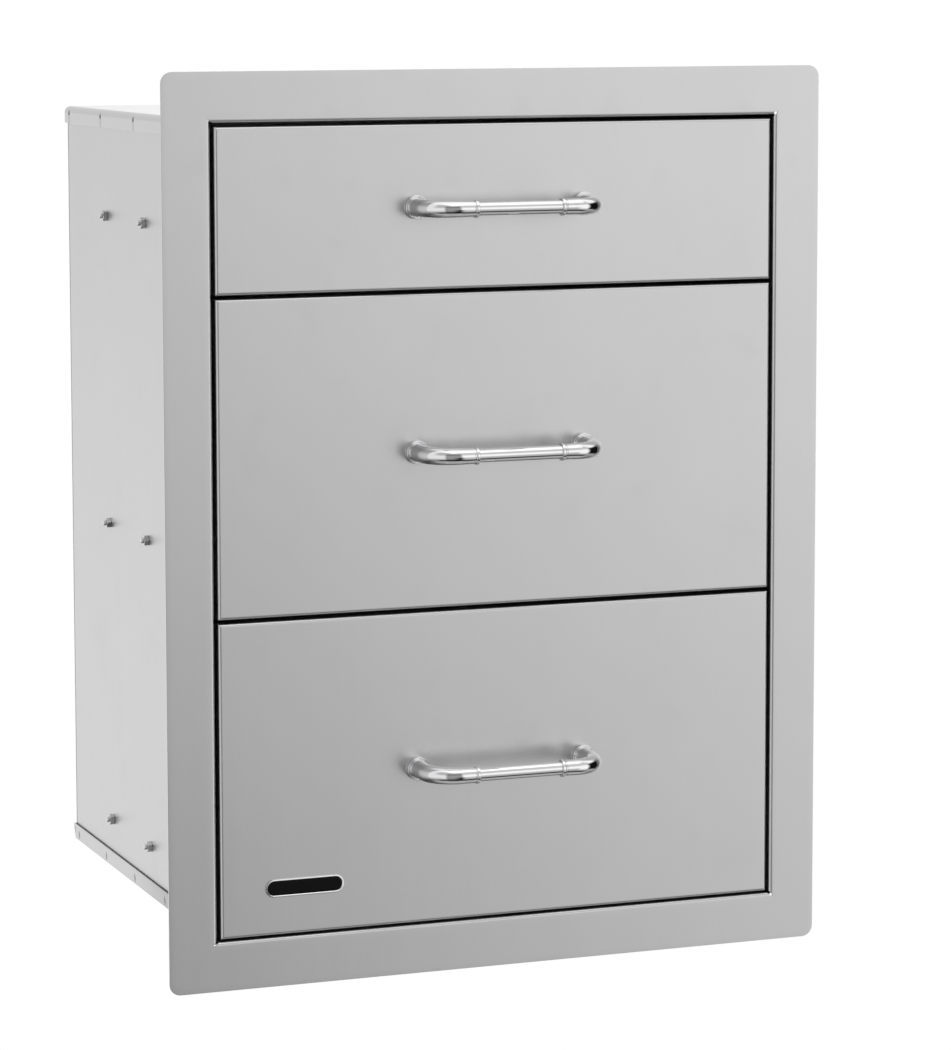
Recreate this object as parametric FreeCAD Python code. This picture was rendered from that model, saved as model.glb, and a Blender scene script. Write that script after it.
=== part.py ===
"""Three-drawer unit of folded stainless sheet for an outdoor kitchen island.

The origin is the centre of the cut-out, in the plane of the flange's back face.
+X runs to the right, +Z up, and the drawers open towards -Y. All sizes are in millimetres.
"""
import FreeCAD, Part
import math
import os

Vector = FreeCAD.Vector

# face frame
opening_width = 489.0
flange_width = 40.5
flange_corner_radius = 9.5
frame_gauge = 1.5
frame_bend_radius = 2.0  # inside radius of the fold behind the flange
return_depth = 22.0  # from the flange's face to the free edge of the returns
corner_kerf = 0.8  # slit left where two returns meet on the mitre
return_end_relief = 3.0
fixing_hole_radius = 2.6
fixing_hole_depth = 11.0  # behind the flange's back face
fixing_hole_height = 210.0  # above and below the centre

# cabinet
cabinet_gauge = 0.95
cabinet_bend_radius = 1.5
side_back_return = 15.0
panel_lip_gap = 2.0  # from the flange's back face to the cabinet's front edges
cap_back_projection = 6.6  # of the cap pan behind the side panels
cap_flange_height = 15.4
cap_fold_radius = 5.5  # outside radius along the cap's side edges
floor_flange_height = 15.1
floor_fold_radius = 2.7
rear_fold_radius = 2.0  # outside radius along the pans' rear edges
back_step_height = 5.0  # of the back sheet's step, which meets the cap's rear flange
back_clearance = 0.15  # between the back sheet and the pans' side flanges
slit_width = 1.0
relief_hole_width = 3.0
cap_slit_inset = 8.1  # from the side panels' back edges to the rearmost slit
cap_slit_pitch = 102.5
floor_slit_inset = 12.5
floor_slit_pitch = 90.6
floor_slit_height = 7.5

# drawer fronts
reveal = 3.0  # gap at the sides, above and between the fronts
bottom_reveal = 1.9
shallow_front_height = 133.5
deep_front_height = 256.8
front_depth = 20.0
front_gauge = 1.2
front_bend_radius = 3.0  # outside
liner_gauge = 1.2
liner_flange_depth = 12.0
liner_clearance = 0.15

# trays
tray_gauge = 1.0
tray_overhang = 11.0  # of the tray behind the slides' drawer members
tray_bend_radius = 2.5
tray_rim_width = 9.0
tray_bottom_rise = 14.0  # above the lower edge of the front
shallow_tray_drop = 22.5  # from the upper edge of the front to the tray's rim
deep_tray_drop = 40.8

# telescopic slides, across their 12.7 thickness and 45 height
slide_thickness = 12.7
slide_height = 45.0
slide_length = 350.0
slide_setback = 3.5  # behind the free edges of the frame's returns
slide_rear_clearance = 36.5  # from the cabinet members to the side panels' back edges
bumper_length = 9.0
bumper_gap = 0.5
bumper_height = 20.0
outer_gauge = 1.2
member_gauge = 1.1
outer_flange_reach = 9.8
outer_lip = 2.9
middle_web_offset = 3.75
middle_flange_reach = 11.55
middle_lip = 2.2
inner_flange_reach = 6.95
inner_lip = 1.1
outer_ball_radius = 1.9
outer_ball_offset = 5.9
inner_ball_radius = 1.6
inner_ball_offset = 8.6
ball_clearance = 0.1
ball_sides = 5
ball_tilt = math.pi / 5  # of the two rings of corners above and below the ball's middle
balls_per_row = 3
ball_inset = 12.0  # from each end of the cage
cage_end_gap = 7.0  # how much shorter a cage is than half its slide
cage_gauge = 0.5
outer_cage_offset = 2.95
outer_cage_reach = 8.2
inner_cage_offset = 5.05
inner_cage_reach = 10.7
cage_pocket_clearance = 0.2
shallow_slide_rise = 48.3  # slide centre above the lower edge of the front
middle_slide_rise = 41.5
bottom_slide_rise = 39.5

# fasteners
hexagon_sides = 6  # sides of the nuts, and of what stands for the round shanks, heads and holes
bolt_radius = 2.5
bolt_head_radius = 4.3
bolt_head_height = 1.4
bolt_projection = 7.5
bolt_insets = (30.0, 155.0, 271.9)  # behind the slides' front ends
hole_clearance = 0.15  # round the shank of each fastener
nut_across_flats = 8.0
nut_height = 4.0
screw_radius = 2.0
screw_head_radius = 3.6
screw_head_height = 1.4
screw_projection = 4.0
tray_screw_front_inset = 36.0  # from the front ends of the drawer members
tray_screw_rear_inset = 44.0
front_screw_spacing = 300.0

# handles
handle_centres = 145.4
handle_standoff = 42.3  # from the front's face to the axis of the bar
elbow_diameter = 13.6
elbow_bend_radius = 27.5
elbow_runs = 4  # straight runs that stand for the elbow's bend
turned_sides = 12  # flat sides that stand for a handle's round sections
elbow_end = 40.2  # from the middle of the handle to the end of each elbow
rosette_diameter = 20.8
rosette_rim_height = 4.2
rosette_height = 6.0
rosette_crown_diameter = 16.0  # where the rosette's slope ends round the post
bar_diameter = 11.0
ring_diameter = 12.6  # narrow ring against the elbow, outside each collar
ring_length = 1.5
collar_diameter = 14.2
collar_length = 2.7
handle_screw_depth = 9.0

# badge
badge_length = 66.7
badge_height = 14.8
badge_thickness = 1.2
badge_from_left = 71.2
badge_from_bottom = 38.6

cut_margin = 1.0  # how far a cutting tool reaches past the sheet it cuts

# places that follow from the sizes above
opening_height = shallow_front_height + 2 * deep_front_height + 3 * reveal + bottom_reveal
half_width = opening_width / 2
half_height = opening_height / 2
face_y = -frame_gauge
return_edge_y = face_y + return_depth
frame_fold = frame_gauge + frame_bend_radius
wall_x = half_width + frame_gauge  # inner face of each side panel
wall_outer_x = wall_x + cabinet_gauge
roof_z = half_height + frame_gauge  # inner faces of the cap and floor pans
pan_outer_z = roof_z + cabinet_gauge
pan_outer_x = wall_outer_x + cabinet_gauge
front_x = half_width - reveal
front_back_y = face_y + front_depth
slide_front = return_edge_y + slide_setback
slide_back = slide_front + slide_length
bolt_rows = [slide_front + inset for inset in bolt_insets]
tray_screw_rows = (slide_front + tray_screw_front_inset, slide_back - tray_screw_rear_inset)
tray_x = wall_x - slide_thickness
tray_front_y = front_back_y
tray_back = slide_back + tray_overhang
cabinet_depth = slide_back + bumper_gap + bumper_length + slide_rear_clearance
cap_back_y = cabinet_depth + cap_back_projection
floor_back_y = cabinet_depth + 2 * cabinet_gauge  # the floor's rear flange laps the back sheet
cage_length = slide_length / 2 - cage_end_gap
ball_pitch = (cage_length - 2 * ball_inset) / (balls_per_row - 1)


def drawer(name, top, height, tray_drop, slide_rise):
    """The levels that one drawer's pieces share."""
    bottom = top - height
    return {
        "name": name,
        "top": top,
        "bottom": bottom,
        "middle": (top + bottom) / 2,
        "tray_bottom": bottom + tray_bottom_rise,
        "tray_top": top - tray_drop,
        "slide": bottom + slide_rise,
    }


def drawers():
    """The three drawers from the top down, each a reveal below the one above."""
    stack = []
    top = half_height - reveal
    for name, height, drop, rise in (
        ("top", shallow_front_height, shallow_tray_drop, shallow_slide_rise),
        ("middle", deep_front_height, deep_tray_drop, middle_slide_rise),
        ("bottom", deep_front_height, deep_tray_drop, bottom_slide_rise),
    ):
        stack.append(drawer(name, top, height, drop, rise))
        top -= height + reveal
    return stack


def block(x0, x1, y0, y1, z0, z1):
    return Part.makeBox(x1 - x0, y1 - y0, z1 - z0, Vector(x0, y0, z0))


def offset_line(points, distance):
    """The points moved sideways by a distance, to the left of the direction of travel."""
    normals = []
    for (a0, b0), (a1, b1) in zip(points, points[1:]):
        length = math.hypot(a1 - a0, b1 - b0)
        normals.append(((b0 - b1) / length, (a1 - a0) / length))
    moved = []
    for index, (a, b) in enumerate(points):
        before = normals[max(index - 1, 0)]
        after = normals[min(index, len(normals) - 1)]
        stretch = 1 + before[0] * after[0] + before[1] * after[1]
        moved.append((
            a + distance * (before[0] + after[0]) / stretch,
            b + distance * (before[1] + after[1]) / stretch,
        ))
    return moved


def rounded_edges(points, radii, place):
    """Edges of a closed outline, with the corner at each point rounded to its radius."""
    count = len(points)
    starts, ends, arcs = [], [], []
    for index, point in enumerate(points):
        corner = place(*point)
        towards = [place(*points[(index + step) % count]).sub(corner) for step in (-1, 1)]
        for direction in towards:
            direction.normalize()
        half_angle = towards[0].getAngle(towards[1]) / 2
        radius = radii[index]
        reach = radius / math.tan(half_angle) if radius else 0.0
        arrive = corner.add(Vector(towards[0]).multiply(reach))
        leave = corner.add(Vector(towards[1]).multiply(reach))
        starts.append(leave)
        ends.append(arrive)
        if radius:
            bisector = towards[0].add(towards[1])
            bisector.normalize()
            middle = corner.add(bisector.multiply(radius / math.sin(half_angle) - radius))
            arcs.append(Part.Arc(arrive, middle, leave).toShape())
        else:
            arcs.append(None)
    edges = []
    for index in range(count):
        if arcs[index]:
            edges.append(arcs[index])
        start, end = starts[index], ends[(index + 1) % count]
        if start.sub(end).Length > 1e-6:
            edges.append(Part.makeLine(start, end))
    return edges


def prism(points, radii, place, travel):
    """A solid made by pushing a rounded outline along a vector."""
    outline = Part.Wire(Part.__sortEdges__(rounded_edges(points, radii, place)))
    return Part.Face(outline).extrude(travel)


def folded_sheet(line, gauge, bend_radius, place, travel):
    """A sheet folded along a centre line, with one inside radius at each bend."""
    left = offset_line(line, gauge / 2)
    right = offset_line(line, -gauge / 2)
    turns = [0.0]
    for (a0, b0), (a1, b1), (a2, b2) in zip(line, line[1:], line[2:]):
        turns.append((a1 - a0) * (b2 - b1) - (b1 - b0) * (a2 - a1))
    turns.append(0.0)
    outside = bend_radius + gauge if bend_radius else 0.0
    left_radii = [0.0 if not turn else bend_radius if turn > 0 else outside for turn in turns]
    right_radii = [0.0 if not turn else outside if turn > 0 else bend_radius for turn in turns]
    return prism(left + right[::-1], left_radii + right_radii[::-1], place, travel)


def in_xy(z):
    return lambda a, b: Vector(a, b, z)


def in_xz(y):
    return lambda a, b: Vector(a, y, b)


def in_yz(x):
    return lambda a, b: Vector(x, a, b)


def around(axis, place, radius, turn):
    """A point at a radius from a level axis and an angle round it."""
    side = Vector(0, 0, 1).cross(axis)
    return place + side * (radius * math.cos(turn)) + Vector(0, 0, radius * math.sin(turn))


def many_sided_wire(sides, radius, place, axis):
    """A regular outline round an axis, its corners at the given radius."""
    turns = [2 * math.pi * (step + 0.5) / sides for step in range(sides)]
    corners = [around(axis, place, radius, turn) for turn in turns]
    return Part.makePolygon(corners + corners[:1])


def many_sided(sides, radius, place, axis, length):
    """A prism with flat sides."""
    return Part.Face(many_sided_wire(sides, radius, place, axis)).extrude(axis * length)


def tapered(sides, radius, end_radius, place, axis, length):
    """A many-sided prism whose sides slope evenly from one radius to another."""
    near = [vertex.Point for vertex in many_sided_wire(sides, radius, place, axis).OrderedVertexes]
    far = [vertex.Point for vertex in
           many_sided_wire(sides, end_radius, place + axis * length, axis).OrderedVertexes]
    outlines = [near, far]
    for step in range(sides):
        following = (step + 1) % sides
        outlines.append([near[step], near[following], far[following], far[step]])
    shell = Part.Shell([Part.Face(Part.makePolygon(corners + corners[:1])) for corners in outlines])
    solid = Part.makeSolid(shell)
    if solid.Volume < 0:
        solid.reverse()
    return solid


def turned(diameter):
    """Corner radius of a many-sided section whose flats lie on the round one of this diameter."""
    return diameter / 2 / math.cos(math.pi / turned_sides)


def mirrored(shape):
    return shape.mirror(Vector(0, 0, 0), Vector(1, 0, 0))


def both_sides(shape):
    return [shape, mirrored(shape)]


def cut_all(shape, tools):
    return shape.cut(Part.makeCompound(tools)) if tools else shape


def fused(shapes):
    return shapes[0].multiFuse(shapes[1:]).removeSplitter()


def fixing_holes():
    """Round holes through each side return and the side panel behind it."""
    start = half_width - cut_margin
    reach = frame_gauge + cabinet_gauge + 2 * cut_margin
    return [
        Part.makeCylinder(
            fixing_hole_radius, reach, Vector(sign * start, fixing_hole_depth, level), Vector(sign, 0, 0)
        )
        for sign in (-1, 1)
        for level in (-fixing_hole_height, fixing_hole_height)
    ]


def face_frame():
    """Flange with rounded corners and four returns folded back round the opening."""
    outer_x = half_width + flange_width
    outer_z = half_height + flange_width
    corners = [(-outer_x, -outer_z), (outer_x, -outer_z), (outer_x, outer_z), (-outer_x, outer_z)]
    plate = prism(corners, [flange_corner_radius] * 4, in_xz(face_y), Vector(0, frame_gauge, 0))
    hole_x = half_width + frame_fold
    hole_z = half_height + frame_fold
    plate = plate.cut(block(-hole_x, hole_x, face_y - cut_margin, cut_margin, -hole_z, hole_z))
    pieces = [plate]
    middle = frame_gauge / 2
    for half, other, upright in ((half_width, half_height, True), (half_height, half_width, False)):
        line = [(half + frame_fold, face_y + middle), (half + middle, face_y + middle),
                (half + middle, return_edge_y)]
        length = other + frame_fold
        slit = corner_kerf / math.sqrt(2)
        for sign in (-1, 1):
            signed = [(sign * a, b) for a, b in line]
            outside = frame_fold
            trapezium = [
                (sign * (half - frame_gauge), other - frame_gauge - slit),
                (sign * (half + outside), other + outside - slit),
                (sign * (half + outside), -(other + outside - slit)),
                (sign * (half - frame_gauge), -(other - frame_gauge - slit)),
            ]
            if upright:
                fold = folded_sheet(signed, frame_gauge, frame_bend_radius, in_xy(-length),
                                    Vector(0, 0, 2 * length))
                mitre = prism(trapezium, [0] * 4, in_xz(face_y), Vector(0, return_depth, 0))
            else:
                fold = folded_sheet([(b, a) for a, b in signed], frame_gauge, frame_bend_radius,
                                    in_yz(-length), Vector(2 * length, 0, 0))
                mitre = prism([(b, a) for a, b in trapezium], [0] * 4, in_xz(face_y),
                              Vector(0, return_depth, 0))
            pieces.append(fold.common(mitre))
    frame = fused(pieces)
    inner_x = half_width - return_end_relief
    inner_z = half_height - return_end_relief
    reliefs = [
        block(min(sx * inner_x, sx * hole_x), max(sx * inner_x, sx * hole_x), panel_lip_gap,
              return_edge_y + cut_margin, min(sz * inner_z, sz * hole_z), max(sz * inner_z, sz * hole_z))
        for sx in (-1, 1) for sz in (-1, 1)
    ]
    return cut_all(frame, reliefs + fixing_holes())


def bolt_places():
    """Where a slide's bolts pass through the wall, as depth and height."""
    return [(depth, unit["slide"]) for unit in drawers() for depth in bolt_rows]


def clearance_hole(radius, place, axis, thickness):
    """A six-sided hole with play round a fastener, through a sheet that starts at a place."""
    start = place - axis * cut_margin
    return many_sided(hexagon_sides, radius + hole_clearance, start, axis, thickness + 2 * cut_margin)


def bolt_hole(depth, level, start, thickness):
    """A slide bolt's hole through a sheet whose inner face is at a distance on X to the right."""
    return clearance_hole(bolt_radius, Vector(start, depth, level), Vector(1, 0, 0), thickness)


def side_panel_right():
    """Side wall with its rear edge folded inwards and holes for the slide bolts."""
    middle = cabinet_gauge / 2
    line = [(wall_x + middle, panel_lip_gap), (wall_x + middle, cabinet_depth - middle),
            (wall_outer_x - side_back_return, cabinet_depth - middle)]
    low = -(pan_outer_z - floor_fold_radius)
    high = pan_outer_z - cap_fold_radius
    panel = folded_sheet(line, cabinet_gauge, cabinet_bend_radius, in_xy(low), Vector(0, 0, high - low))
    holes = [bolt_hole(depth, level, wall_x, cabinet_gauge) for depth, level in bolt_places()]
    return cut_all(panel, holes + fixing_holes())


def pan(flange_height, fold_radius, back_y):
    """A cap that opens downwards: a plate with flanges folded down at both sides and the back."""
    def shell(inset):
        side_radius = fold_radius - inset
        rear_radius = rear_fold_radius - inset
        top = pan_outer_z - inset
        low = pan_outer_z - flange_height - inset
        x = pan_outer_x - inset
        back = back_y - inset
        front = panel_lip_gap - inset
        across = prism([(-x, low), (x, low), (x, top), (-x, top)], [0, 0, side_radius, side_radius],
                       in_xz(front), Vector(0, back - front, 0))
        lengthways = prism([(front, low), (back, low), (back, top), (front, top)], [0, 0, rear_radius, 0],
                           in_yz(-x), Vector(2 * x, 0, 0))
        return across.common(lengthways)

    return shell(0.0).cut(shell(cabinet_gauge))


def slit_depths(inset, pitch):
    """Distances behind the flange of a row of slits, from the back forwards."""
    depths = []
    depth = cabinet_depth - inset
    while depth > return_edge_y:
        depths.append(depth)
        depth -= pitch
    return depths


def cabinet_top():
    """Cap pan, its side flanges slit into tabs with a relief hole at the root of each slit."""
    cap = pan(cap_flange_height, cap_fold_radius, cap_back_y)
    low = pan_outer_z - cap_flange_height
    root = pan_outer_z - cap_fold_radius - relief_hole_width / 2
    tools = []
    for depth in slit_depths(cap_slit_inset, cap_slit_pitch):
        x0, x1 = wall_outer_x, pan_outer_x + cut_margin
        slit = block(x0, x1, depth - slit_width / 2, depth + slit_width / 2, low - cut_margin, root)
        relief = many_sided(hexagon_sides, relief_hole_width / 2, Vector(x0, depth, root), Vector(1, 0, 0),
                            x1 - x0)
        tools += both_sides(slit) + both_sides(relief)
    return cut_all(cap, tools)


def cabinet_floor():
    """Floor pan, the cap's like turned over, with short relief slots along its fold."""
    upturned = pan(floor_flange_height, floor_fold_radius, floor_back_y)
    floor = upturned.mirror(Vector(0, 0, 0), Vector(0, 0, 1))
    low = -(pan_outer_z - floor_fold_radius)
    tools = []
    for depth in slit_depths(floor_slit_inset, floor_slit_pitch):
        tools += both_sides(block(wall_outer_x, pan_outer_x + cut_margin, depth - slit_width / 2,
                                  depth + slit_width / 2, low, low + floor_slit_height))
    return cut_all(floor, tools)


def cabinet_back():
    """Back sheet on the side panels' rear returns, stepped out at the top to seat in the cap."""
    middle = cabinet_gauge / 2
    plain = cabinet_depth + middle
    stepped = cap_back_y - cabinet_gauge - middle
    high = pan_outer_z - cap_fold_radius
    low = pan_outer_z - floor_fold_radius
    shoulder = stepped - plain
    line = [(plain, -low), (plain, high - back_step_height - shoulder), (stepped, high - back_step_height),
            (stepped, high)]
    half = wall_outer_x - back_clearance
    return folded_sheet(line, cabinet_gauge, 0.0, in_yz(-half), Vector(2 * half, 0, 0))


def slide_point(level):
    """Turns a point of the slide's section, measured from the wall and its centre, into X and Z."""
    return lambda offset, height: (wall_x - offset, level + height)


def member(line, gauge, level, start, length):
    """One rolled member of a right-hand slide."""
    place = slide_point(level)
    return folded_sheet([place(*point) for point in line], gauge, 0.0, in_xz(start), Vector(0, length, 0))


def mirrored_line(half_line):
    """A section line completed by its reflection about the slide's centre."""
    return half_line + [(offset, -height) for offset, height in half_line[::-1]]


outer_flange = slide_height / 2 - outer_gauge / 2
outer_ball_height = slide_height / 2 - outer_gauge - ball_clearance - outer_ball_radius
middle_flange = outer_ball_height - outer_ball_radius - ball_clearance - member_gauge / 2
inner_ball_height = middle_flange - member_gauge / 2 - ball_clearance - inner_ball_radius
inner_flange = inner_ball_height - inner_ball_radius - ball_clearance - member_gauge / 2


def slide_outer(unit):
    """Cabinet member, bolted to the side panel."""
    lip = outer_flange_reach - outer_gauge / 2
    line = mirrored_line([(lip, outer_flange + outer_gauge / 2 - outer_lip), (lip, outer_flange),
                          (outer_gauge / 2, outer_flange)])
    length = slide_length + bumper_gap + bumper_length
    channel = member(line, outer_gauge, unit["slide"], slide_front, length)
    holes = [bolt_hole(depth, unit["slide"], wall_x - outer_gauge, outer_gauge) for depth in bolt_rows]
    return cut_all(channel, holes)


def slide_middle(unit):
    """Intermediate member, which runs half as far as the drawer."""
    web = middle_web_offset + member_gauge / 2
    lip = middle_flange_reach - member_gauge / 2
    line = mirrored_line([(lip, middle_flange + member_gauge / 2 - middle_lip), (lip, middle_flange),
                          (web, middle_flange)])
    return member(line, member_gauge, unit["slide"], slide_front, slide_length)


def tray_screw_hole(depth, level):
    place = Vector(tray_x - tray_gauge, depth, level)
    return clearance_hole(screw_radius, place, Vector(1, 0, 0), tray_gauge + member_gauge)


def slide_inner(unit):
    """Drawer member, screwed to the side of the tray."""
    web = slide_thickness - member_gauge / 2
    lip = inner_flange_reach - member_gauge / 2
    line = mirrored_line([(lip, inner_flange - member_gauge / 2 + inner_lip + member_gauge),
                          (lip, inner_flange), (web, inner_flange)])
    channel = member(line, member_gauge, unit["slide"], slide_front, slide_length)
    return cut_all(channel, [tray_screw_hole(depth, unit["slide"]) for depth in tray_screw_rows])


def faceted_ball(centre, radius):
    """A ball with a few flat facets, its corners on the sphere."""
    turns = [2 * math.pi * step / ball_sides for step in range(ball_sides + 1)]

    def point(turn, tilt):
        return centre + Vector(math.cos(turn) * math.cos(tilt), math.sin(turn) * math.cos(tilt),
                               math.sin(tilt)) * radius

    tilts = [-math.pi / 2, -ball_tilt, ball_tilt, math.pi / 2]
    faces = []
    for low, high in zip(tilts, tilts[1:]):
        for turn, following in zip(turns[:-1], turns[1:]):
            corners = [point(turn, low), point(following, low), point(following, high), point(turn, high)]
            if low == tilts[0]:
                corners = corners[1:]
            if high == tilts[-1]:
                corners = corners[:3]
            faces.append(Part.Face(Part.makePolygon(corners + corners[:1])))
    shell = Part.Shell(faces)
    ball = Part.makeSolid(shell)
    if ball.Volume < 0:
        ball.reverse()
    return ball


def ball_cage(unit, offset, reach, ball_offset, ball_height, ball_radius):
    """A pressed cage between two members, with two rows of balls in its pockets."""
    middle_y = slide_front + slide_length / 2
    web = offset + cage_gauge / 2
    line = mirrored_line([(reach, ball_height), (web, ball_height)])
    strip = member(line, cage_gauge, unit["slide"], middle_y - cage_length / 2, cage_length)
    pocket = ball_radius + cage_pocket_clearance
    x = wall_x - ball_offset
    pockets, balls = [], []
    for step in range(balls_per_row):
        y = middle_y + (step - (balls_per_row - 1) / 2) * ball_pitch
        for sign in (-1, 1):
            z = unit["slide"] + sign * ball_height
            pockets.append(block(x - pocket, x + pocket, y - pocket, y + pocket, z - cut_margin,
                                 z + cut_margin))
            balls.append(faceted_ball(Vector(x, y, z), ball_radius))
    return [cut_all(strip, pockets)] + balls


def cages_outer(unit):
    return ball_cage(unit, outer_cage_offset, outer_cage_reach, outer_ball_offset, outer_ball_height,
                     outer_ball_radius)


def cages_inner(unit):
    return ball_cage(unit, inner_cage_offset, inner_cage_reach, inner_ball_offset, inner_ball_height,
                     inner_ball_radius)


def slide_bolts():
    """Low-headed bolts through the cabinet members and the side panels."""
    bolts = []
    seat = wall_x - outer_gauge
    for depth, level in bolt_places():
        head = many_sided(hexagon_sides, bolt_head_radius, Vector(seat - bolt_head_height, depth, level),
                          Vector(1, 0, 0), bolt_head_height)
        shank = many_sided(hexagon_sides, bolt_radius, Vector(seat, depth, level), Vector(1, 0, 0),
                           outer_gauge + cabinet_gauge + bolt_projection)
        bolts += both_sides(head.fuse(shank))
    return bolts


def slide_nuts():
    """Hexagon nuts on the outside of the cabinet."""
    nuts = []
    for depth, level in bolt_places():
        place = Vector(wall_outer_x, depth, level)
        body = many_sided(hexagon_sides, nut_across_flats / math.sqrt(3), place, Vector(1, 0, 0), nut_height)
        nuts += both_sides(body.cut(bolt_hole(depth, level, wall_outer_x, nut_height)))
    return nuts


def slide_bumpers():
    """Rubber stops at the rear of the cabinet members, which the drawers close against."""
    start = slide_back + bumper_gap
    bumpers = []
    for unit in drawers():
        x1 = wall_x - outer_gauge
        x0 = wall_x - slide_thickness + member_gauge
        low = unit["slide"] - bumper_height / 2
        bumpers += both_sides(block(x0, x1, start, start + bumper_length, low, low + bumper_height))
    return bumpers


def handle_screw_places(unit):
    return [Vector(sign * handle_centres / 2, 0, unit["middle"]) for sign in (-1, 1)]


def front_panel(unit):
    """Outer skin of a drawer front: a pan with rounded front edges that opens to the rear."""
    def shell(inset):
        radius = front_bend_radius - inset
        x = front_x - inset
        low = unit["bottom"] + inset
        high = unit["top"] - inset
        front = face_y + inset
        back = front_back_y + inset
        across = prism([(-x, front), (x, front), (x, back), (-x, back)], [radius, radius, 0, 0],
                       in_xy(low), Vector(0, 0, high - low))
        upright = prism([(front, low), (front, high), (back, high), (back, low)], [radius, radius, 0, 0],
                        in_yz(-x), Vector(2 * x, 0, 0))
        return across.common(upright)

    skin = shell(0.0).cut(shell(front_gauge))
    holes = [clearance_hole(screw_radius, place + Vector(0, face_y, 0), Vector(0, 1, 0), front_gauge)
             for place in handle_screw_places(unit)]
    return cut_all(skin, holes)


def front_screw_places(unit):
    level = (unit["tray_bottom"] + unit["tray_top"]) / 2
    return [Vector(sign * front_screw_spacing / 2, 0, level) for sign in (-1, 1)]


def front_screw_hole(place, gauge, start):
    return clearance_hole(screw_radius, place + Vector(0, start, 0), Vector(0, 1, 0), gauge)


def front_liner(unit):
    """Inner pan that closes the hollow front and carries the tray."""
    x = front_x - front_gauge - liner_clearance
    low = unit["bottom"] + front_gauge + liner_clearance
    high = unit["top"] - front_gauge - liner_clearance
    outer = block(-x, x, front_back_y - liner_flange_depth, front_back_y, low, high)
    inner = block(-x + liner_gauge, x - liner_gauge, front_back_y - liner_flange_depth - cut_margin,
                  front_back_y - liner_gauge, low + liner_gauge, high - liner_gauge)
    holes = [front_screw_hole(place, liner_gauge, front_back_y - liner_gauge)
             for place in front_screw_places(unit)]
    return cut_all(outer.cut(inner), holes)


def tray(unit):
    """Open drawer box with rolled lower edges and rims turned inwards."""
    low, high = unit["tray_bottom"], unit["tray_top"]
    length = tray_back - tray_front_y
    outline = [(-tray_x, low), (tray_x, low), (tray_x, high), (-tray_x, high)]
    body = prism(outline, [tray_bend_radius, tray_bend_radius, 0, 0], in_xz(tray_front_y),
                 Vector(0, length, 0))
    inner_x = tray_x - tray_gauge
    inner_radius = tray_bend_radius - tray_gauge
    cavity = prism([(-inner_x, low + tray_gauge), (inner_x, low + tray_gauge), (inner_x, high - tray_gauge),
                    (-inner_x, high - tray_gauge)], [inner_radius, inner_radius, 0, 0],
                   in_xz(tray_front_y + tray_gauge), Vector(0, length - 2 * tray_gauge, 0))
    mouth_x = tray_x - tray_rim_width
    mouth = block(-mouth_x, mouth_x, tray_front_y + tray_rim_width, tray_back - tray_rim_width,
                  high - 2 * tray_gauge, high + cut_margin)
    holes = [front_screw_hole(place, tray_gauge, tray_front_y) for place in front_screw_places(unit)]
    for depth in tray_screw_rows:
        holes += both_sides(tray_screw_hole(depth, unit["slide"]))
    return cut_all(body.cut(cavity).cut(mouth), holes)


def pan_head_screw(seat, axis, shank_length):
    """A screw whose head bears on the seat and whose shank runs along the axis."""
    head = many_sided(hexagon_sides, screw_head_radius, seat - axis * screw_head_height, axis,
                      screw_head_height)
    shank = many_sided(hexagon_sides, screw_radius, seat, axis, shank_length)
    return head.fuse(shank)


def tray_screws(unit):
    """Screws that hold the slides' drawer members and the front to the tray."""
    screws = []
    seat_x = wall_x - slide_thickness + member_gauge
    for depth in tray_screw_rows:
        screw = pan_head_screw(Vector(seat_x, depth, unit["slide"]), Vector(-1, 0, 0),
                               member_gauge + tray_gauge + screw_projection)
        screws += both_sides(screw)
    for place in front_screw_places(unit):
        seat = place + Vector(0, tray_front_y + tray_gauge, 0)
        screws.append(pan_head_screw(seat, Vector(0, -1, 0), tray_gauge + liner_gauge + screw_projection))
    return screws


def handle_screws(unit):
    """Screws from inside the front into the handle's posts."""
    return [pan_head_screw(place + Vector(0, face_y + front_gauge, 0), Vector(0, -1, 0),
                           front_gauge + handle_screw_depth) for place in handle_screw_places(unit)]


def handle_elbow_right(unit):
    """Rosette, post and bend of one end of a handle, bored for its screw."""
    post_x = handle_centres / 2
    z = unit["middle"]
    bar_y = face_y - handle_standoff
    outward = Vector(0, -1, 0)
    seat = Vector(post_x, face_y, z)
    rim = many_sided(turned_sides, turned(rosette_diameter), seat, outward, rosette_rim_height)
    slope = tapered(turned_sides, turned(rosette_diameter), turned(rosette_crown_diameter),
                    seat + outward * rosette_rim_height, outward, rosette_height - rosette_rim_height)
    centre = Vector(post_x - elbow_bend_radius, bar_y + elbow_bend_radius, z)
    corner = elbow_bend_radius / math.cos(math.pi / 4 / elbow_runs)
    points = [Vector(post_x, face_y - rosette_height, z)]
    for step in range(elbow_runs):
        turn = (step + 0.5) * math.pi / 2 / elbow_runs
        points.append(centre + Vector(corner * math.cos(turn), -corner * math.sin(turn), 0))
    points.append(Vector(elbow_end, bar_y, z))
    path = Part.makePolygon(points)
    section = many_sided_wire(turned_sides, turned(elbow_diameter), points[0], outward)
    tube = path.makePipeShell([section], True, True, 1)
    bore = clearance_hole(screw_radius, seat, outward, handle_screw_depth)
    return fused([rim, slope, tube]).cut(bore)


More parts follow.
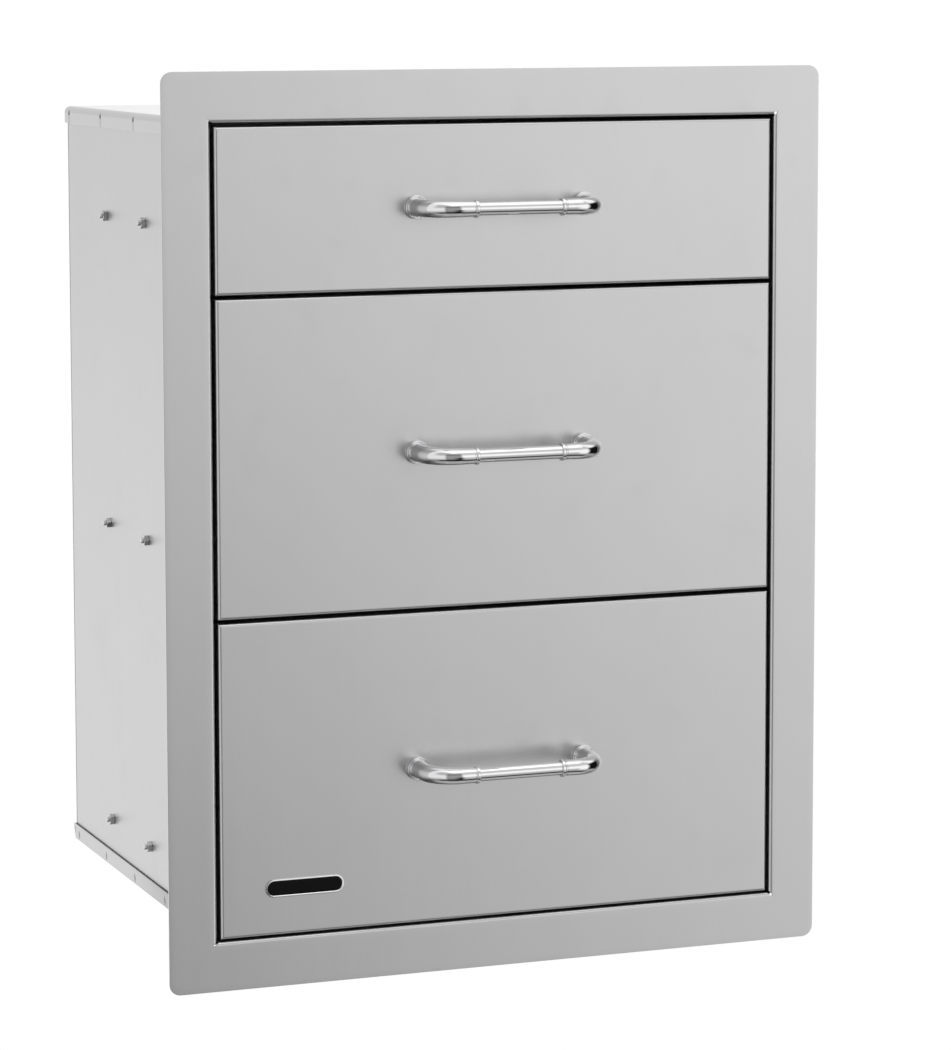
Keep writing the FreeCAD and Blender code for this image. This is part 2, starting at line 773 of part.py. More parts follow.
def handle_bar(unit):
    """Straight grip with a ring and a collar at each end, where the elbows meet it."""
    y = face_y - handle_standoff
    z = unit["middle"]
    along = Vector(1, 0, 0)
    ring_start = elbow_end - ring_length
    grip = many_sided(turned_sides, turned(bar_diameter), Vector(-elbow_end, y, z), along, 2 * elbow_end)
    ring = many_sided(turned_sides, turned(ring_diameter), Vector(ring_start, y, z), along, ring_length)
    collar = many_sided(turned_sides, turned(collar_diameter), Vector(ring_start - collar_length, y, z),
                        along, collar_length)
    return fused([grip] + both_sides(ring) + both_sides(collar))


def badge_plate(unit):
    """Plain plate with round ends on the lowest front."""
    x0 = -front_x + badge_from_left
    z0 = unit["bottom"] + badge_from_bottom
    radius = badge_height / 2
    outline = [(x0 - badge_length / 2, z0 - radius), (x0 + badge_length / 2, z0 - radius),
               (x0 + badge_length / 2, z0 + radius), (x0 - badge_length / 2, z0 + radius)]
    return prism(outline, [radius] * 4, in_xz(face_y), Vector(0, -badge_thickness, 0))


def save(name, shapes):
    """Writes one node, a single solid or a group of separate ones."""
    solids = [solid for shape in shapes for solid in shape.Solids]
    for solid in solids:
        if not solid.isValid():
            raise ValueError(name + " is not a valid solid")
    node = solids[0] if len(solids) == 1 else Part.makeCompound(solids)
    node.exportStep("parts/" + name + ".step")


def save_pair(name, right):
    """Writes a right-hand piece and its mirror image."""
    save(name + "_right", [right])
    save(name + "_left", [mirrored(right)])


def build_cabinet():
    save("face_frame", [face_frame()])
    save_pair("cabinet_side", side_panel_right())
    save("cabinet_top", [cabinet_top()])
    save("cabinet_floor", [cabinet_floor()])
    save("cabinet_back", [cabinet_back()])
    for unit in drawers():
        save_pair(unit["name"] + "_slide_outer", slide_outer(unit))
    save("slide_bolts", slide_bolts())
    save("slide_nuts", slide_nuts())
    save("slide_bumpers", slide_bumpers())


def build_drawer(unit):
    name = unit["name"]
    save(name + "_front_panel", [front_panel(unit)])
    save(name + "_front_liner", [front_liner(unit)])
    save(name + "_tray", [tray(unit)])
    save(name + "_tray_screws", tray_screws(unit))
    save(name + "_handle_elbows", both_sides(handle_elbow_right(unit)))
    save(name + "_handle_bar", [handle_bar(unit)])
    save(name + "_handle_screws", handle_screws(unit))
    save_pair(name + "_slide_middle", slide_middle(unit))
    save_pair(name + "_slide_inner", slide_inner(unit))
    save(name + "_ball_cages_outer", [piece for half in cages_outer(unit) for piece in both_sides(half)])
    save(name + "_ball_cages_inner", [piece for half in cages_inner(unit) for piece in both_sides(half)])


os.makedirs("parts", exist_ok=True)
build_cabinet()
for unit in drawers():
    build_drawer(unit)
save("badge_plate", [badge_plate(drawers()[-1])])
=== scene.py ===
"""Looks of a three-drawer unit of folded stainless sheet for an outdoor kitchen island.

Lengths are in metres, in the frame of the packed model: the origin is the centre of the cut-out, +X runs
to the right, +Z up, and the drawers open towards -Y.
"""
from __future__ import annotations

import logging
import math
from dataclasses import dataclass, replace
from enum import Enum
from typing import Callable, Sequence

import bmesh
import bpy
import numpy as np
from mathutils import Euler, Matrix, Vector

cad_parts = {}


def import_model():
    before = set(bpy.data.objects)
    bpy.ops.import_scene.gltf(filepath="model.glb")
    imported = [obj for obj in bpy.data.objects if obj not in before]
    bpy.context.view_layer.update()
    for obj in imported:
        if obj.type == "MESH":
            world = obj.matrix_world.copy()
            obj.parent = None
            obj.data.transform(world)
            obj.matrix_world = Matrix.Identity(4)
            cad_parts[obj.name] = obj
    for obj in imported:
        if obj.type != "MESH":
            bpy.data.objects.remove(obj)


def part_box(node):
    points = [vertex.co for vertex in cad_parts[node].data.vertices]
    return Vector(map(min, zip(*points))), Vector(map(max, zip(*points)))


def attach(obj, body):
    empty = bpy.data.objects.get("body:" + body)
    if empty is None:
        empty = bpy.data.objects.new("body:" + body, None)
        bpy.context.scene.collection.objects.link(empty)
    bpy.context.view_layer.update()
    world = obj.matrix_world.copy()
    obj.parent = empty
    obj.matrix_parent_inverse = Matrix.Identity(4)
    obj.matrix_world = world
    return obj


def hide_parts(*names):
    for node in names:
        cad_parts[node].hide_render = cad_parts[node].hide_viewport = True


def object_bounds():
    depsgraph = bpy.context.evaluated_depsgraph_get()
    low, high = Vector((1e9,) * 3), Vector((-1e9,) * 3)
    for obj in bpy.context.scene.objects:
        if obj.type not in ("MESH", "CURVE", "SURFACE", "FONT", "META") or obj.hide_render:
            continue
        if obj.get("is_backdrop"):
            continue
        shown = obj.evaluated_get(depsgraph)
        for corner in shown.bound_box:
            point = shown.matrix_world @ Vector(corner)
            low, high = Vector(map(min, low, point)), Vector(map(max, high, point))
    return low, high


log = logging.getLogger("drawer_unit")

MM = 0.001
WELD = 2e-6
TINY = 1e-5
SHARP = math.radians(34)
CUT_EDGE = math.radians(50)
FLATNESS = 90
QUARTER = math.pi / 2
ROUND = 2 * math.pi
FLOAT = "NodeSocketFloat"
VECTOR = "NodeSocketVector"
WHITE = (1, 1, 1, 1)

Array = np.ndarray
Piece = bpy.types.Object
Material = bpy.types.Material
Node = bpy.types.Node
Socket = bpy.types.NodeSocket
Sockets = bpy.types.bpy_prop_collection
Inputs = dict[str | int, object]
Pair = tuple[float, float]
Triple = tuple[float, float, float]


class Drawer(Enum):
    """The three drawers from the top down."""

    TOP = "top"
    MIDDLE = "middle"
    BOTTOM = "bottom"


class Side(Enum):
    """The two sides of the cabinet, as the sign of X."""

    LEFT = -1
    RIGHT = 1


class Grain(Enum):
    """The way that a sheet was brushed or rolled, as the squeeze of its pattern along X, Y and Z."""

    UPRIGHT = (1.0, 1.0, 0.02)
    LEVEL = (0.02, 1.0, 1.0)
    LENGTHWAYS = (1.0, 0.02, 1.0)


class Axis(Enum):
    """An axis of rotation with the two directions that a turned profile sweeps through."""

    X = ((1, 0, 0), (0, 1, 0), (0, 0, 1))
    Y = ((0, 1, 0), (0, 0, 1), (1, 0, 0))


# Surfaces

@dataclass
class Grid:
    """A surface as rows and columns of points, joined by quads.

    Attributes:
        points: Array of rows, columns and the three coordinates.
        wrap_rows: Whether the last row joins the first.
        wrap_columns: Whether the last column joins the first.
        keep: Optional mask with one entry for each quad, false where the sheet is cut away.
    """

    points: Array
    wrap_rows: bool = False
    wrap_columns: bool = False
    keep: Array | None = None

    def faces(self, first: int) -> Array:
        """Corner numbers of each quad.

        Quad (i, j) joins points (i, j), (i, j+1), (i+1, j+1) and (i+1, j), counted round where it wraps.

        Args:
            first: Number of the grid's first point in the whole mesh.

        Returns:
            Array of four corner numbers for each quad.
        """
        rows, columns = self.points.shape[:2]
        row = np.arange(rows if self.wrap_rows else rows - 1)[:, None]
        column = np.arange(columns if self.wrap_columns else columns - 1)[None, :]
        next_row = (row + 1) % rows
        next_column = (column + 1) % columns
        corners = np.stack(np.broadcast_arrays(
            row * columns + column, row * columns + next_column,
            next_row * columns + next_column, next_row * columns + column), axis=-1)
        quads = corners.reshape(-1, 4)
        if self.keep is not None:
            quads = quads[self.keep.reshape(-1)]
        return quads + first

    def on(self, side: Side) -> Grid:
        """The surface on one side of the unit, from its form on the right."""
        return replace(self, points=self.points * (side.value, 1, 1))


def both_sides(grids: Sequence[Grid]) -> list[Grid]:
    """Surfaces on both sides of the unit, from their form on the right."""
    return [grid.on(side) for side in Side for grid in grids]


def build(name: str, grids: Sequence[Grid], away_from: Sequence[float] | None = None) -> Piece:
    """Makes one mesh object at the origin from grids of points.

    Points that coincide are merged, quads that have shrunk to nothing are dropped, and the faces of each
    shell are turned the same way.

    Args:
        name: Name of the new object.
        grids: The surfaces that make up the piece.
        away_from: For an open skin, a point that its faces look away from. A closed shell needs none.

    Returns:
        The new object.
    """
    points = np.concatenate([grid.points.reshape(-1, 3) for grid in grids])
    starts = np.cumsum([0] + [grid.points.shape[0] * grid.points.shape[1] for grid in grids])
    faces = np.concatenate([grid.faces(int(start)) for grid, start in zip(grids, starts)])
    mesh = bpy.data.meshes.new(name)
    mesh.from_pydata(points.tolist(), [], faces.tolist())
    work = bmesh.new()
    work.from_mesh(mesh)
    bmesh.ops.remove_doubles(work, verts=work.verts, dist=WELD)
    bmesh.ops.dissolve_degenerate(work, edges=work.edges, dist=WELD)
    bmesh.ops.recalc_face_normals(work, faces=work.faces)
    if away_from is not None:
        origin = Vector(away_from)
        outward = sum(face.calc_area() * face.normal.dot(face.calc_center_median() - origin)
                      for face in work.faces)
        if outward < 0:
            bmesh.ops.reverse_faces(work, faces=work.faces)
    work.to_mesh(mesh)
    work.free()
    piece = bpy.data.objects.new(name, mesh)
    bpy.context.scene.collection.objects.link(piece)
    smooth(piece)
    return piece


def smooth(piece: Piece) -> None:
    """Shades a piece smoothly, with its sharp edges kept.

    Args:
        piece: The piece.
    """
    mesh = piece.data
    mesh.polygons.foreach_set("use_smooth", np.ones(len(mesh.polygons), dtype=bool))
    mesh.set_sharp_from_angle(angle=SHARP)
    mesh.update()


def settle(piece: Piece) -> bpy.types.Mesh:
    """Makes a piece's modifiers part of its mesh.

    Args:
        piece: The piece.

    Returns:
        Its new mesh.
    """
    finished = bpy.data.meshes.new_from_object(piece.evaluated_get(bpy.context.evaluated_depsgraph_get()))
    piece.modifiers.clear()
    piece.data = finished
    return finished


def steady(piece: Piece) -> None:
    """Weights the shading of each corner by the faces' areas, so that flat faces stay flat beside bends.

    Args:
        piece: The piece.
    """
    weigh = piece.modifiers.new("steady", "WEIGHTED_NORMAL")
    weigh.mode = "FACE_AREA"
    weigh.weight = FLATNESS
    weigh.keep_sharp = True
    settle(piece)


def thicken(piece: Piece, gauge: float, ease: float) -> None:
    """Turns an open skin into a sheet inside the skin's own box and eases its cut edges.

    Args:
        piece: The skin, with its faces on the outside of the sheet.
        gauge: Thickness of the sheet, laid on the inside of the skin.
        ease: Width of the small round on each sharp edge.
    """
    box = np.array(piece.bound_box)
    solidify = piece.modifiers.new("gauge", "SOLIDIFY")
    solidify.thickness = gauge
    solidify.offset = -1
    solidify.use_even_offset = True
    bevel = piece.modifiers.new("ease", "BEVEL")
    bevel.width = ease
    bevel.segments = 2
    bevel.limit_method = "ANGLE"
    bevel.angle_limit = CUT_EDGE
    finished = settle(piece)
    points = np.empty(3 * len(finished.vertices))
    finished.vertices.foreach_get("co", points)
    points = np.clip(points.reshape(-1, 3), box.min(axis=0), box.max(axis=0))
    finished.vertices.foreach_set("co", points.ravel())
    smooth(piece)


def middle_of(low: Sequence[float], high: Sequence[float]) -> list[float]:
    """Centre of a box."""
    return [(first + last) / 2 for first, last in zip(low, high)]


def arc(centre: Sequence[float], radius: float, start: float, end: float, steps: int = 8) -> Array:
    """Points of an arc, centre + radius * (cos t, sin t), with t even from start to end."""
    turn = np.linspace(start, end, steps + 1)
    return np.asarray(centre) + radius * np.column_stack((np.cos(turn), np.sin(turn)))


def whole_turn(steps: int) -> Array:
    """Even angles round a circle."""
    return np.linspace(0, ROUND, steps, endpoint=False)


def rounded(points: Sequence[Sequence[float]], radii: Sequence[float], steps: int = 6) -> Array:
    """A line through points, with its corners rounded.

    At a corner with half angle h, an arc of radius r runs from r / tan h before the corner to r / tan h
    after it, about a centre r / sin h along the bisector.

    Args:
        points: Corners of the line in its own plane.
        radii: Radius at each corner, 0 where it stays sharp or at an end.
        steps: Steps of each arc.

    Returns:
        The points of the rounded line.
    """
    corners = np.asarray(points, dtype=float)
    pieces = [corners[:1]]
    for before, corner, after, radius in zip(corners, corners[1:], corners[2:], radii[1:]):
        back = (before - corner) / np.linalg.norm(before - corner)
        ahead = (after - corner) / np.linalg.norm(after - corner)
        if not radius:
            pieces.append(corner[None])
            continue
        half = math.acos(float(np.clip(back @ ahead, -1, 1))) / 2
        centre = corner + (back + ahead) / np.linalg.norm(back + ahead) * radius / math.sin(half)
        first = corner + back * radius / math.tan(half) - centre
        last = corner + ahead * radius / math.tan(half) - centre
        share = np.linspace(0, 1, steps + 1)[:, None]
        swing = math.pi - 2 * half
        blend = (np.sin((1 - share) * swing) * first + np.sin(share * swing) * last) / math.sin(swing)
        pieces.append(centre + blend)
    pieces.append(corners[-1:])
    return np.concatenate(pieces)


def directions(line: Array) -> Array:
    """Direction of a line at each of its points, as rows of length 1."""
    direction = np.gradient(line, axis=0)
    return direction / np.linalg.norm(direction, axis=1, keepdims=True)


def sideways(line: Array, distance: float) -> Array:
    """A plane line moved to the left of its direction, each point along its own mean normal."""
    direction = directions(line)
    return line + distance * np.column_stack((-direction[:, 1], direction[:, 0]))


def turned(profile: Array, origin: Sequence[float], axis: Axis, steps: int = 48) -> Grid:
    """A surface of revolution.

    Point (i, j) = origin + along_i * axis + radius_i * (cos t_j * first + sin t_j * second).

    Args:
        profile: Rows of distance along the axis and radius.
        origin: Where the axis starts.
        axis: The axis and the two directions square to it.
        steps: Steps round the axis.

    Returns:
        The surface, closed round the axis.
    """
    along, first, second = (np.array(direction, dtype=float) for direction in axis.value)
    turn = whole_turn(steps)[None, :, None]
    distance = profile[:, 0][:, None, None]
    radius = profile[:, 1][:, None, None]
    ring = np.cos(turn) * first + np.sin(turn) * second
    return Grid(np.asarray(origin) + distance * along + radius * ring, wrap_columns=True)


def strip(line: Array, gauge: float, place: Callable[[Array, Array, float], Array],
          start: float, end: float) -> list[Grid]:
    """A sheet of even gauge folded along a line and pushed along Y, closed at both ends.

    The section's outline is the line moved half a gauge to each side.

    Args:
        line: The middle of the section, as rows of two coordinates.
        gauge: Thickness of the sheet.
        place: Turns the section's coordinates and a depth into points.
        start: Depth of the front end.
        end: Depth of the rear end.

    Returns:
        The walls and the two end faces.
    """
    left = sideways(line, gauge / 2)
    right = sideways(line, -gauge / 2)
    outline = np.concatenate((left, right[::-1]))
    walls = np.stack([place(outline[:, 0], outline[:, 1], depth) for depth in (start, end)])
    ends = [Grid(np.stack([place(edge[:, 0], edge[:, 1], depth) for edge in (left, right)]))
            for depth in (start, end)]
    return [Grid(walls, wrap_columns=True)] + ends


def pan_profile(half: float, depth: float, radius: float) -> Array:
    """Half-open section of a folded pan, as rows of position and drop below its face.

    It climbs one wall, rounds a bend as a quarter circle, crosses the face and comes down the other wall.

    Args:
        half: Half the width over the walls.
        depth: Height of the walls.
        radius: Outside radius of the bends.

    Returns:
        The section from the free edge of one wall to that of the other.
    """
    bend = arc((half - radius, radius), radius, -QUARTER, 0)
    right = np.concatenate((bend, [[half, depth]]))
    return np.concatenate((right[::-1] * (-1, 1), right))


def crossed(across: Array, along: Array, place: Callable[[Array, Array, Array], Array]) -> Array:
    """A pan whose four walls are folded from one sheet.

    The drop at (i, j) is the larger of the two sections' drops, so that the bends meet in a mitre.

    Args:
        across: Section in the first direction, rows of position and drop.
        along: Section in the second direction.
        place: Turns two positions and a drop into points.

    Returns:
        Grid of points.
    """
    first, second = np.meshgrid(across[:, 0], along[:, 0], indexing="ij")
    drop = np.maximum(across[:, 1][:, None], along[:, 1][None, :])
    return place(first, second, drop)


# Shader nodes

class Nodes:
    """Adds shader nodes to one tree and links them."""

    def __init__(self, tree: bpy.types.NodeTree) -> None:
        """Empties a tree and starts on it."""
        self.tree = tree
        tree.nodes.clear()

    def add(self, kind: str, inputs: Inputs | None = None, **settings: object) -> Node:
        """Adds a node.

        Args:
            kind: Type name of the node.
            inputs: Values or sockets for its inputs, by name or place.
            settings: Properties of the node itself.

        Returns:
            The new node.
        """
        node = self.tree.nodes.new(kind)
        for name, value in settings.items():
            setattr(node, name, value)
        for name, value in (inputs or {}).items():
            if isinstance(value, bpy.types.NodeSocket):
                self.tree.links.new(value, node.inputs[name])
            else:
                node.inputs[name].default_value = value
        return node

    def math(self, operation: str, *values: object) -> Socket:
        """Result of a Math node on numbers or sockets."""
        return self.add("ShaderNodeMath", dict(enumerate(values)), operation=operation).outputs[0]

    def vector(self, operation: str, inputs: Inputs, output: int | str = 0) -> Socket:
        """Result of a Vector Math node."""
        return self.add("ShaderNodeVectorMath", inputs, operation=operation).outputs[output]

    def remap(self, value: Socket, low: float, high: float, start: float = 0.0, end: float = 1.0) -> Socket:
        """Value taken smoothly from the range low..high to start..end."""
        inputs = {"Value": value, "From Min": low, "From Max": high, "To Min": start, "To Max": end}
        return self.add("ShaderNodeMapRange", inputs, interpolation_type="SMOOTHSTEP").outputs["Result"]

    def noise(self, place: Socket, scale: object, detail: float = 2.0, roughness: float = 0.5) -> Socket:
        """Noise from 0 to 1, with its scale in patterns a metre."""
        inputs = {"Vector": place, "Scale": scale, "Detail": detail, "Roughness": roughness}
        return self.add("ShaderNodeTexNoise", inputs).outputs["Fac"]

    def bump(self, height: Socket, strength: object, distance: float) -> Socket:
        """Normals tilted by a height."""
        inputs = {"Strength": strength, "Distance": distance, "Height": height}
        return self.add("ShaderNodeBump", inputs).outputs["Normal"]

    def tinted(self, colour: Triple, tone: Socket) -> Socket:
        """A colour brightened or darkened by a tone about 1."""
        return self.vector("SCALE", {0: colour, "Scale": tone})

    def mixed(self, share: Socket, first: Node, second: Node) -> Node:
        """The first shader where the share is 0 and the second where it is 1."""
        return self.add("ShaderNodeMixShader", {0: share, 1: first.outputs[0], 2: second.outputs[0]})

    def pattern(self, pattern: Pattern, **inputs: object) -> Sockets:
        """Outputs of a shared pattern, placed with its own values."""
        return self.add("ShaderNodeGroup", inputs, node_tree=pattern.tree()).outputs


@dataclass(frozen=True)
class Pattern:
    """A pattern that several finishes use, as a shader group.

    Attributes:
        name: Name of the group.
        inputs: First value of each input, None for a place.
        outputs: Socket type of each output.
    """

    name: str
    inputs: dict[str, object]
    outputs: dict[str, str]

    def tree(self) -> bpy.types.NodeTree:
        """The group, made once and then shared.

        Returns:
            The group's node tree.
        """
        found = bpy.data.node_groups.get(self.name)
        if found:
            return found
        tree = bpy.data.node_groups.new(self.name, "ShaderNodeTree")
        for key, value in self.inputs.items():
            kind = FLOAT if isinstance(value, float) else VECTOR
            socket = tree.interface.new_socket(key, in_out="INPUT", socket_type=kind)
            if value is not None:
                socket.default_value = value
        for key, kind in self.outputs.items():
            tree.interface.new_socket(key, in_out="OUTPUT", socket_type=kind)
        nodes = Nodes(tree)
        nodes.add("NodeGroupOutput", self.draw(nodes, nodes.add("NodeGroupInput").outputs))
        return tree

    def draw(self, nodes: Nodes, source: Sockets) -> dict[str, Socket]:
        """The group's nodes.

        Args:
            nodes: Where they go.
            source: The group's input sockets.

        Returns:
            Socket of each output, by name.
        """
        raise NotImplementedError


@dataclass(frozen=True)
class SheetGrain(Pattern):
    """Brushed or rolled sheet: fine streaks along the grain, broad bands across it, and clouds."""

    streak_scale: float = 2600.0
    band_scale: float = 60.0
    cloud_scale: float = 9.0
    roughness: float = 0.55
    streak_gloss: float = 0.35
    band_gloss: float = 0.12
    scratch_depth: float = 0.02 * MM

    def draw(self, nodes: Nodes, source: Sockets) -> dict[str, Socket]:
        """Three noises about zero, of which the streaks and bands are squeezed along one axis.

        Tone and Gloss swing about 1, and Normal carries the scratches.

        Args:
            nodes: Where the nodes go.
            source: The group's input sockets.

        Returns:
            Socket of each output, by name.
        """
        place = source["Place"]
        stretched = nodes.vector("MULTIPLY", {0: place, 1: source["Squeeze"]})
        kinds = ((stretched, self.streak_scale, 2.0), (stretched, self.band_scale, 3.0),
                 (place, self.cloud_scale, 3.0))
        streaks, bands, clouds = (nodes.math("SUBTRACT", nodes.noise(*kind, self.roughness), 0.5)
                                  for kind in kinds)
        tone = nodes.math("MULTIPLY_ADD", streaks, source["Streaks"], 1.0)
        tone = nodes.math("MULTIPLY_ADD", bands, source["Bands"], tone)
        tone = nodes.math("MULTIPLY_ADD", clouds, source["Clouds"], tone)
        gloss = nodes.math("MULTIPLY_ADD", streaks, self.streak_gloss, 1.0)
        gloss = nodes.math("MULTIPLY_ADD", bands, self.band_gloss, gloss)
        return {"Tone": tone, "Gloss": gloss,
                "Normal": nodes.bump(streaks, source["Scratch"], self.scratch_depth)}


@dataclass(frozen=True)
class Smudges(Pattern):
    """The faint marks of handling: soft round smudges, as a mask from 0 to the amount."""

    reach: Pair = (0.56, 0.74)

    def draw(self, nodes: Nodes, source: Sockets) -> dict[str, Socket]:
        """A smooth step of one broad noise.

        Args:
            nodes: Where the nodes go.
            source: The group's input sockets.

        Returns:
            Socket of the output, by name.
        """
        mask = nodes.remap(nodes.noise(source["Place"], source["Size"]), *self.reach)
        return {"Mask": nodes.math("MULTIPLY", mask, source["Amount"])}


SHEET_GRAIN = SheetGrain(
    "brushed grain", {"Place": None, "Squeeze": Grain.UPRIGHT.value, "Streaks": 0.03, "Bands": 0.02,
                      "Clouds": 0.03, "Scratch": 0.1},
    {"Tone": FLOAT, "Gloss": FLOAT, "Normal": VECTOR})
SMUDGES = Smudges("handled marks", {"Place": None, "Size": 30.0, "Amount": 1.0}, {"Mask": FLOAT})


# Finishes

@dataclass(frozen=True)
class Finish:
    """What a finish needs whatever it is made of."""

    name: str

    def material(self) -> Material:
        """The material, made once and then shared.

        Returns:
            The material.
        """
        found = bpy.data.materials.get(self.name)
        if found:
            return found
        material = bpy.data.materials.new(self.name)
        material.use_nodes = True
        nodes = Nodes(material.node_tree)
        place = nodes.add("ShaderNodeTexCoord").outputs["Object"]
        shader = nodes.add("ShaderNodeBsdfPrincipled", self.look(nodes, place))
        nodes.add("ShaderNodeOutputMaterial", {"Surface": shader.outputs["BSDF"]})
        return material

    def look(self, nodes: Nodes, place: Socket) -> Inputs:
        """The shader's inputs, with the patterns that they follow.

        Args:
            nodes: The material's nodes.
            place: The object's own coordinates.

        Returns:
            Value or socket of each input, by name.
        """
        raise NotImplementedError


@dataclass(frozen=True)
class SheetSteel(Finish):
    """Stainless or plated sheet with a directional grain."""

    colour: Triple = (0.6, 0.6, 0.6)
    roughness: float = 0.38
    grain: Grain = Grain.UPRIGHT
    streaks: float = 0.05
    bands: float = 0.04
    clouds: float = 0.05
    scratch: float = 0.12
    marks: float = 0.3
    mark_size: float = 26.0
    mark_dulling: float = 0.05

    def tone(self, nodes: Nodes, place: Socket, tone: Socket) -> Socket:
        """The tone of the sheet, here the grain's alone."""
        return tone

    def look(self, nodes: Nodes, place: Socket) -> Inputs:
        """Metal whose tone, gloss and scratches follow the grain.

        Args:
            nodes: The material's nodes.
            place: The object's own coordinates.

        Returns:
            Value or socket of each input, by name.
        """
        grain = nodes.pattern(SHEET_GRAIN, Place=place, Squeeze=self.grain.value, Streaks=self.streaks,
                              Bands=self.bands, Clouds=self.clouds, Scratch=self.scratch)
        marks = nodes.pattern(SMUDGES, Place=place, Size=self.mark_size, Amount=self.marks)["Mask"]
        rough = nodes.math("MULTIPLY", grain["Gloss"], self.roughness)
        return {"Metallic": 1.0,
                "Base Color": nodes.tinted(self.colour, self.tone(nodes, place, grain["Tone"])),
                "Roughness": nodes.math("MULTIPLY_ADD", marks, self.mark_dulling, rough),
                "Normal": grain["Normal"]}


@dataclass(frozen=True)
class BrightPlate(Finish):
    """Polished plating, with the faint haze that handling leaves."""

    colour: Triple = (0.86, 0.86, 0.87)
    roughness: float = 0.035
    haze: float = 0.05
    haze_tone: float = -0.04
    haze_size: float = 120.0
    pitting: float = 0.02
    pit_size: float = 300.0
    pit_depth: float = 0.05 * MM

    def look(self, nodes: Nodes, place: Socket) -> Inputs:
        """Mirror metal, a little rougher and darker under the smudges.

        Args:
            nodes: The material's nodes.
            place: The object's own coordinates.

        Returns:
            Value or socket of each input, by name.
        """
        marks = nodes.pattern(SMUDGES, Place=place, Size=self.haze_size, Amount=1.0)["Mask"]
        tone = nodes.math("MULTIPLY_ADD", marks, self.haze_tone, 1.0)
        return {"Metallic": 1.0, "Base Color": nodes.tinted(self.colour, tone),
                "Roughness": nodes.math("MULTIPLY_ADD", marks, self.haze, self.roughness),
                "Normal": nodes.bump(nodes.noise(place, self.pit_size), self.pitting, self.pit_depth)}


@dataclass(frozen=True)
class Moulded(Finish):
    """Rubber or enamel: a plain dark colour with a slight mottle and a fine skin."""

    colour: Triple = (0.02, 0.02, 0.02)
    roughness: float = 0.6
    variation: float = 0.15
    gloss: float = 0.5
    mottle_size: float = 90.0
    mottle_reach: Pair = (0.3, 0.7)
    skin: float = 0.1
    skin_size: float = 1500.0
    skin_depth: float = 0.03 * MM

    def look(self, nodes: Nodes, place: Socket) -> Inputs:
        """Non-metal whose colour and roughness follow one mottle.

        Args:
            nodes: The material's nodes.
            place: The object's own coordinates.

        Returns:
            Value or socket of each input, by name.
        """
        mottle = nodes.noise(place, self.mottle_size, detail=4.0)
        tone = nodes.remap(mottle, *self.mottle_reach, 1.0 - self.variation, 1.0 + self.variation)
        return {"Base Color": nodes.tinted(self.colour, tone), "Specular IOR Level": self.gloss,
                "Roughness": nodes.math("MULTIPLY", tone, self.roughness),
                "Normal": nodes.bump(nodes.noise(place, self.skin_size), self.skin, self.skin_depth)}


@dataclass(frozen=True)
class PunchedSteel(SheetSteel):
    """Sheet with painted shade: a dark round patch at each slit, and darker towards its front edge.

    Attributes:
        first: Depth of the rearmost slit.
        pitch: Distance from slit to slit.
        level: Height of the patches of painted shade.
        spread: Radius of the fully dark painted shade round a slit, and the radius where it ends.
        shade: Tone in the middle of a patch of painted shade.
        dulled: Depths where the painted shade towards the front edge is full and where it ends.
        dull: Tone of the painted shade at the front edge.
    """

    first: float = 0.0
    pitch: float = 0.1
    level: float = 0.0
    spread: Pair = (1.6 * MM, 3.6 * MM)
    shade: float = 0.35
    dulled: Pair = (0.0, 0.1)
    dull: float = 1.0

    def tone(self, nodes: Nodes, place: Socket, tone: Socket) -> Socket:
        """The grain's tone, with painted shade round each slit and towards the front edge.

        The distance from the centre of the nearest patch of painted shade is sqrt(a * a + b * b), where a is
        the depth behind it, counted round from slit to slit, and b the height above it.

        Args:
            nodes: The material's nodes.
            place: The object's own coordinates.
            tone: The grain's tone.

        Returns:
            The tone of the sheet, with the painted shade.
        """
        _, y, z = nodes.add("ShaderNodeSeparateXYZ", {0: place}).outputs
        along = nodes.math("WRAP", nodes.math("SUBTRACT", y, self.first), self.pitch / 2, -self.pitch / 2)
        up = nodes.math("SUBTRACT", z, self.level)
        square = nodes.math("MULTIPLY_ADD", up, up, nodes.math("MULTIPLY", along, along))
        # Painted shade: darker round each slit, and darker towards the front edge.
        painted_shade = nodes.remap(nodes.math("SQRT", square), *self.spread, self.shade, 1.0)
        painted_shade = nodes.math("MULTIPLY", painted_shade, nodes.remap(y, *self.dulled, self.dull, 1.0))
        return nodes.math("MULTIPLY", tone, painted_shade)


BRUSHED = SheetSteel("brushed stainless", colour=(0.685, 0.685, 0.685), roughness=0.30)
MILL = SheetSteel("mill finish stainless", roughness=0.36, bands=0.06, clouds=0.04, streaks=0.02,
                  scratch=0.08)
# The cap's finish paints shade round each relief hole; the floor pan's paints shade round each slot and
# towards its front edge.
CAP_SHEET = PunchedSteel("bright annealed stainless", colour=(0.575, 0.575, 0.575), roughness=0.17,
                         grain=Grain.LENGTHWAYS, clouds=0.04, streaks=0.02, scratch=0.05)
FLOOR_SHEET = PunchedSteel(**(vars(MILL) | {"name": "mill finish pan"}), spread=(1.0 * MM, 4.2 * MM),
                           shade=0.6, dulled=(0.03, 0.26), dull=0.62)
SATIN = SheetSteel("satin tray stainless", colour=(0.62, 0.62, 0.62), roughness=0.34, grain=Grain.LENGTHWAYS)
ZINC = SheetSteel("bright zinc", colour=(0.66, 0.67, 0.70), roughness=0.26, grain=Grain.LENGTHWAYS,
                  clouds=0.12, streaks=0.04)
CAGE = SheetSteel("rolled cage steel", colour=(0.52, 0.53, 0.55), roughness=0.3, grain=Grain.LENGTHWAYS)
FASTENER = SheetSteel("plated fasteners", colour=(0.62, 0.62, 0.63), roughness=0.16, clouds=0.2, marks=0.6)
CHROME = BrightPlate("chrome plate")
BALL = BrightPlate("polished balls", colour=(0.7, 0.7, 0.72), roughness=0.06)
RUBBER = Moulded("black rubber", colour=(0.03, 0.03, 0.03), roughness=0.75)
ENAMEL = Moulded("black enamel", colour=(0.003, 0.003, 0.003), roughness=0.4, gloss=0.12, skin=0.02)


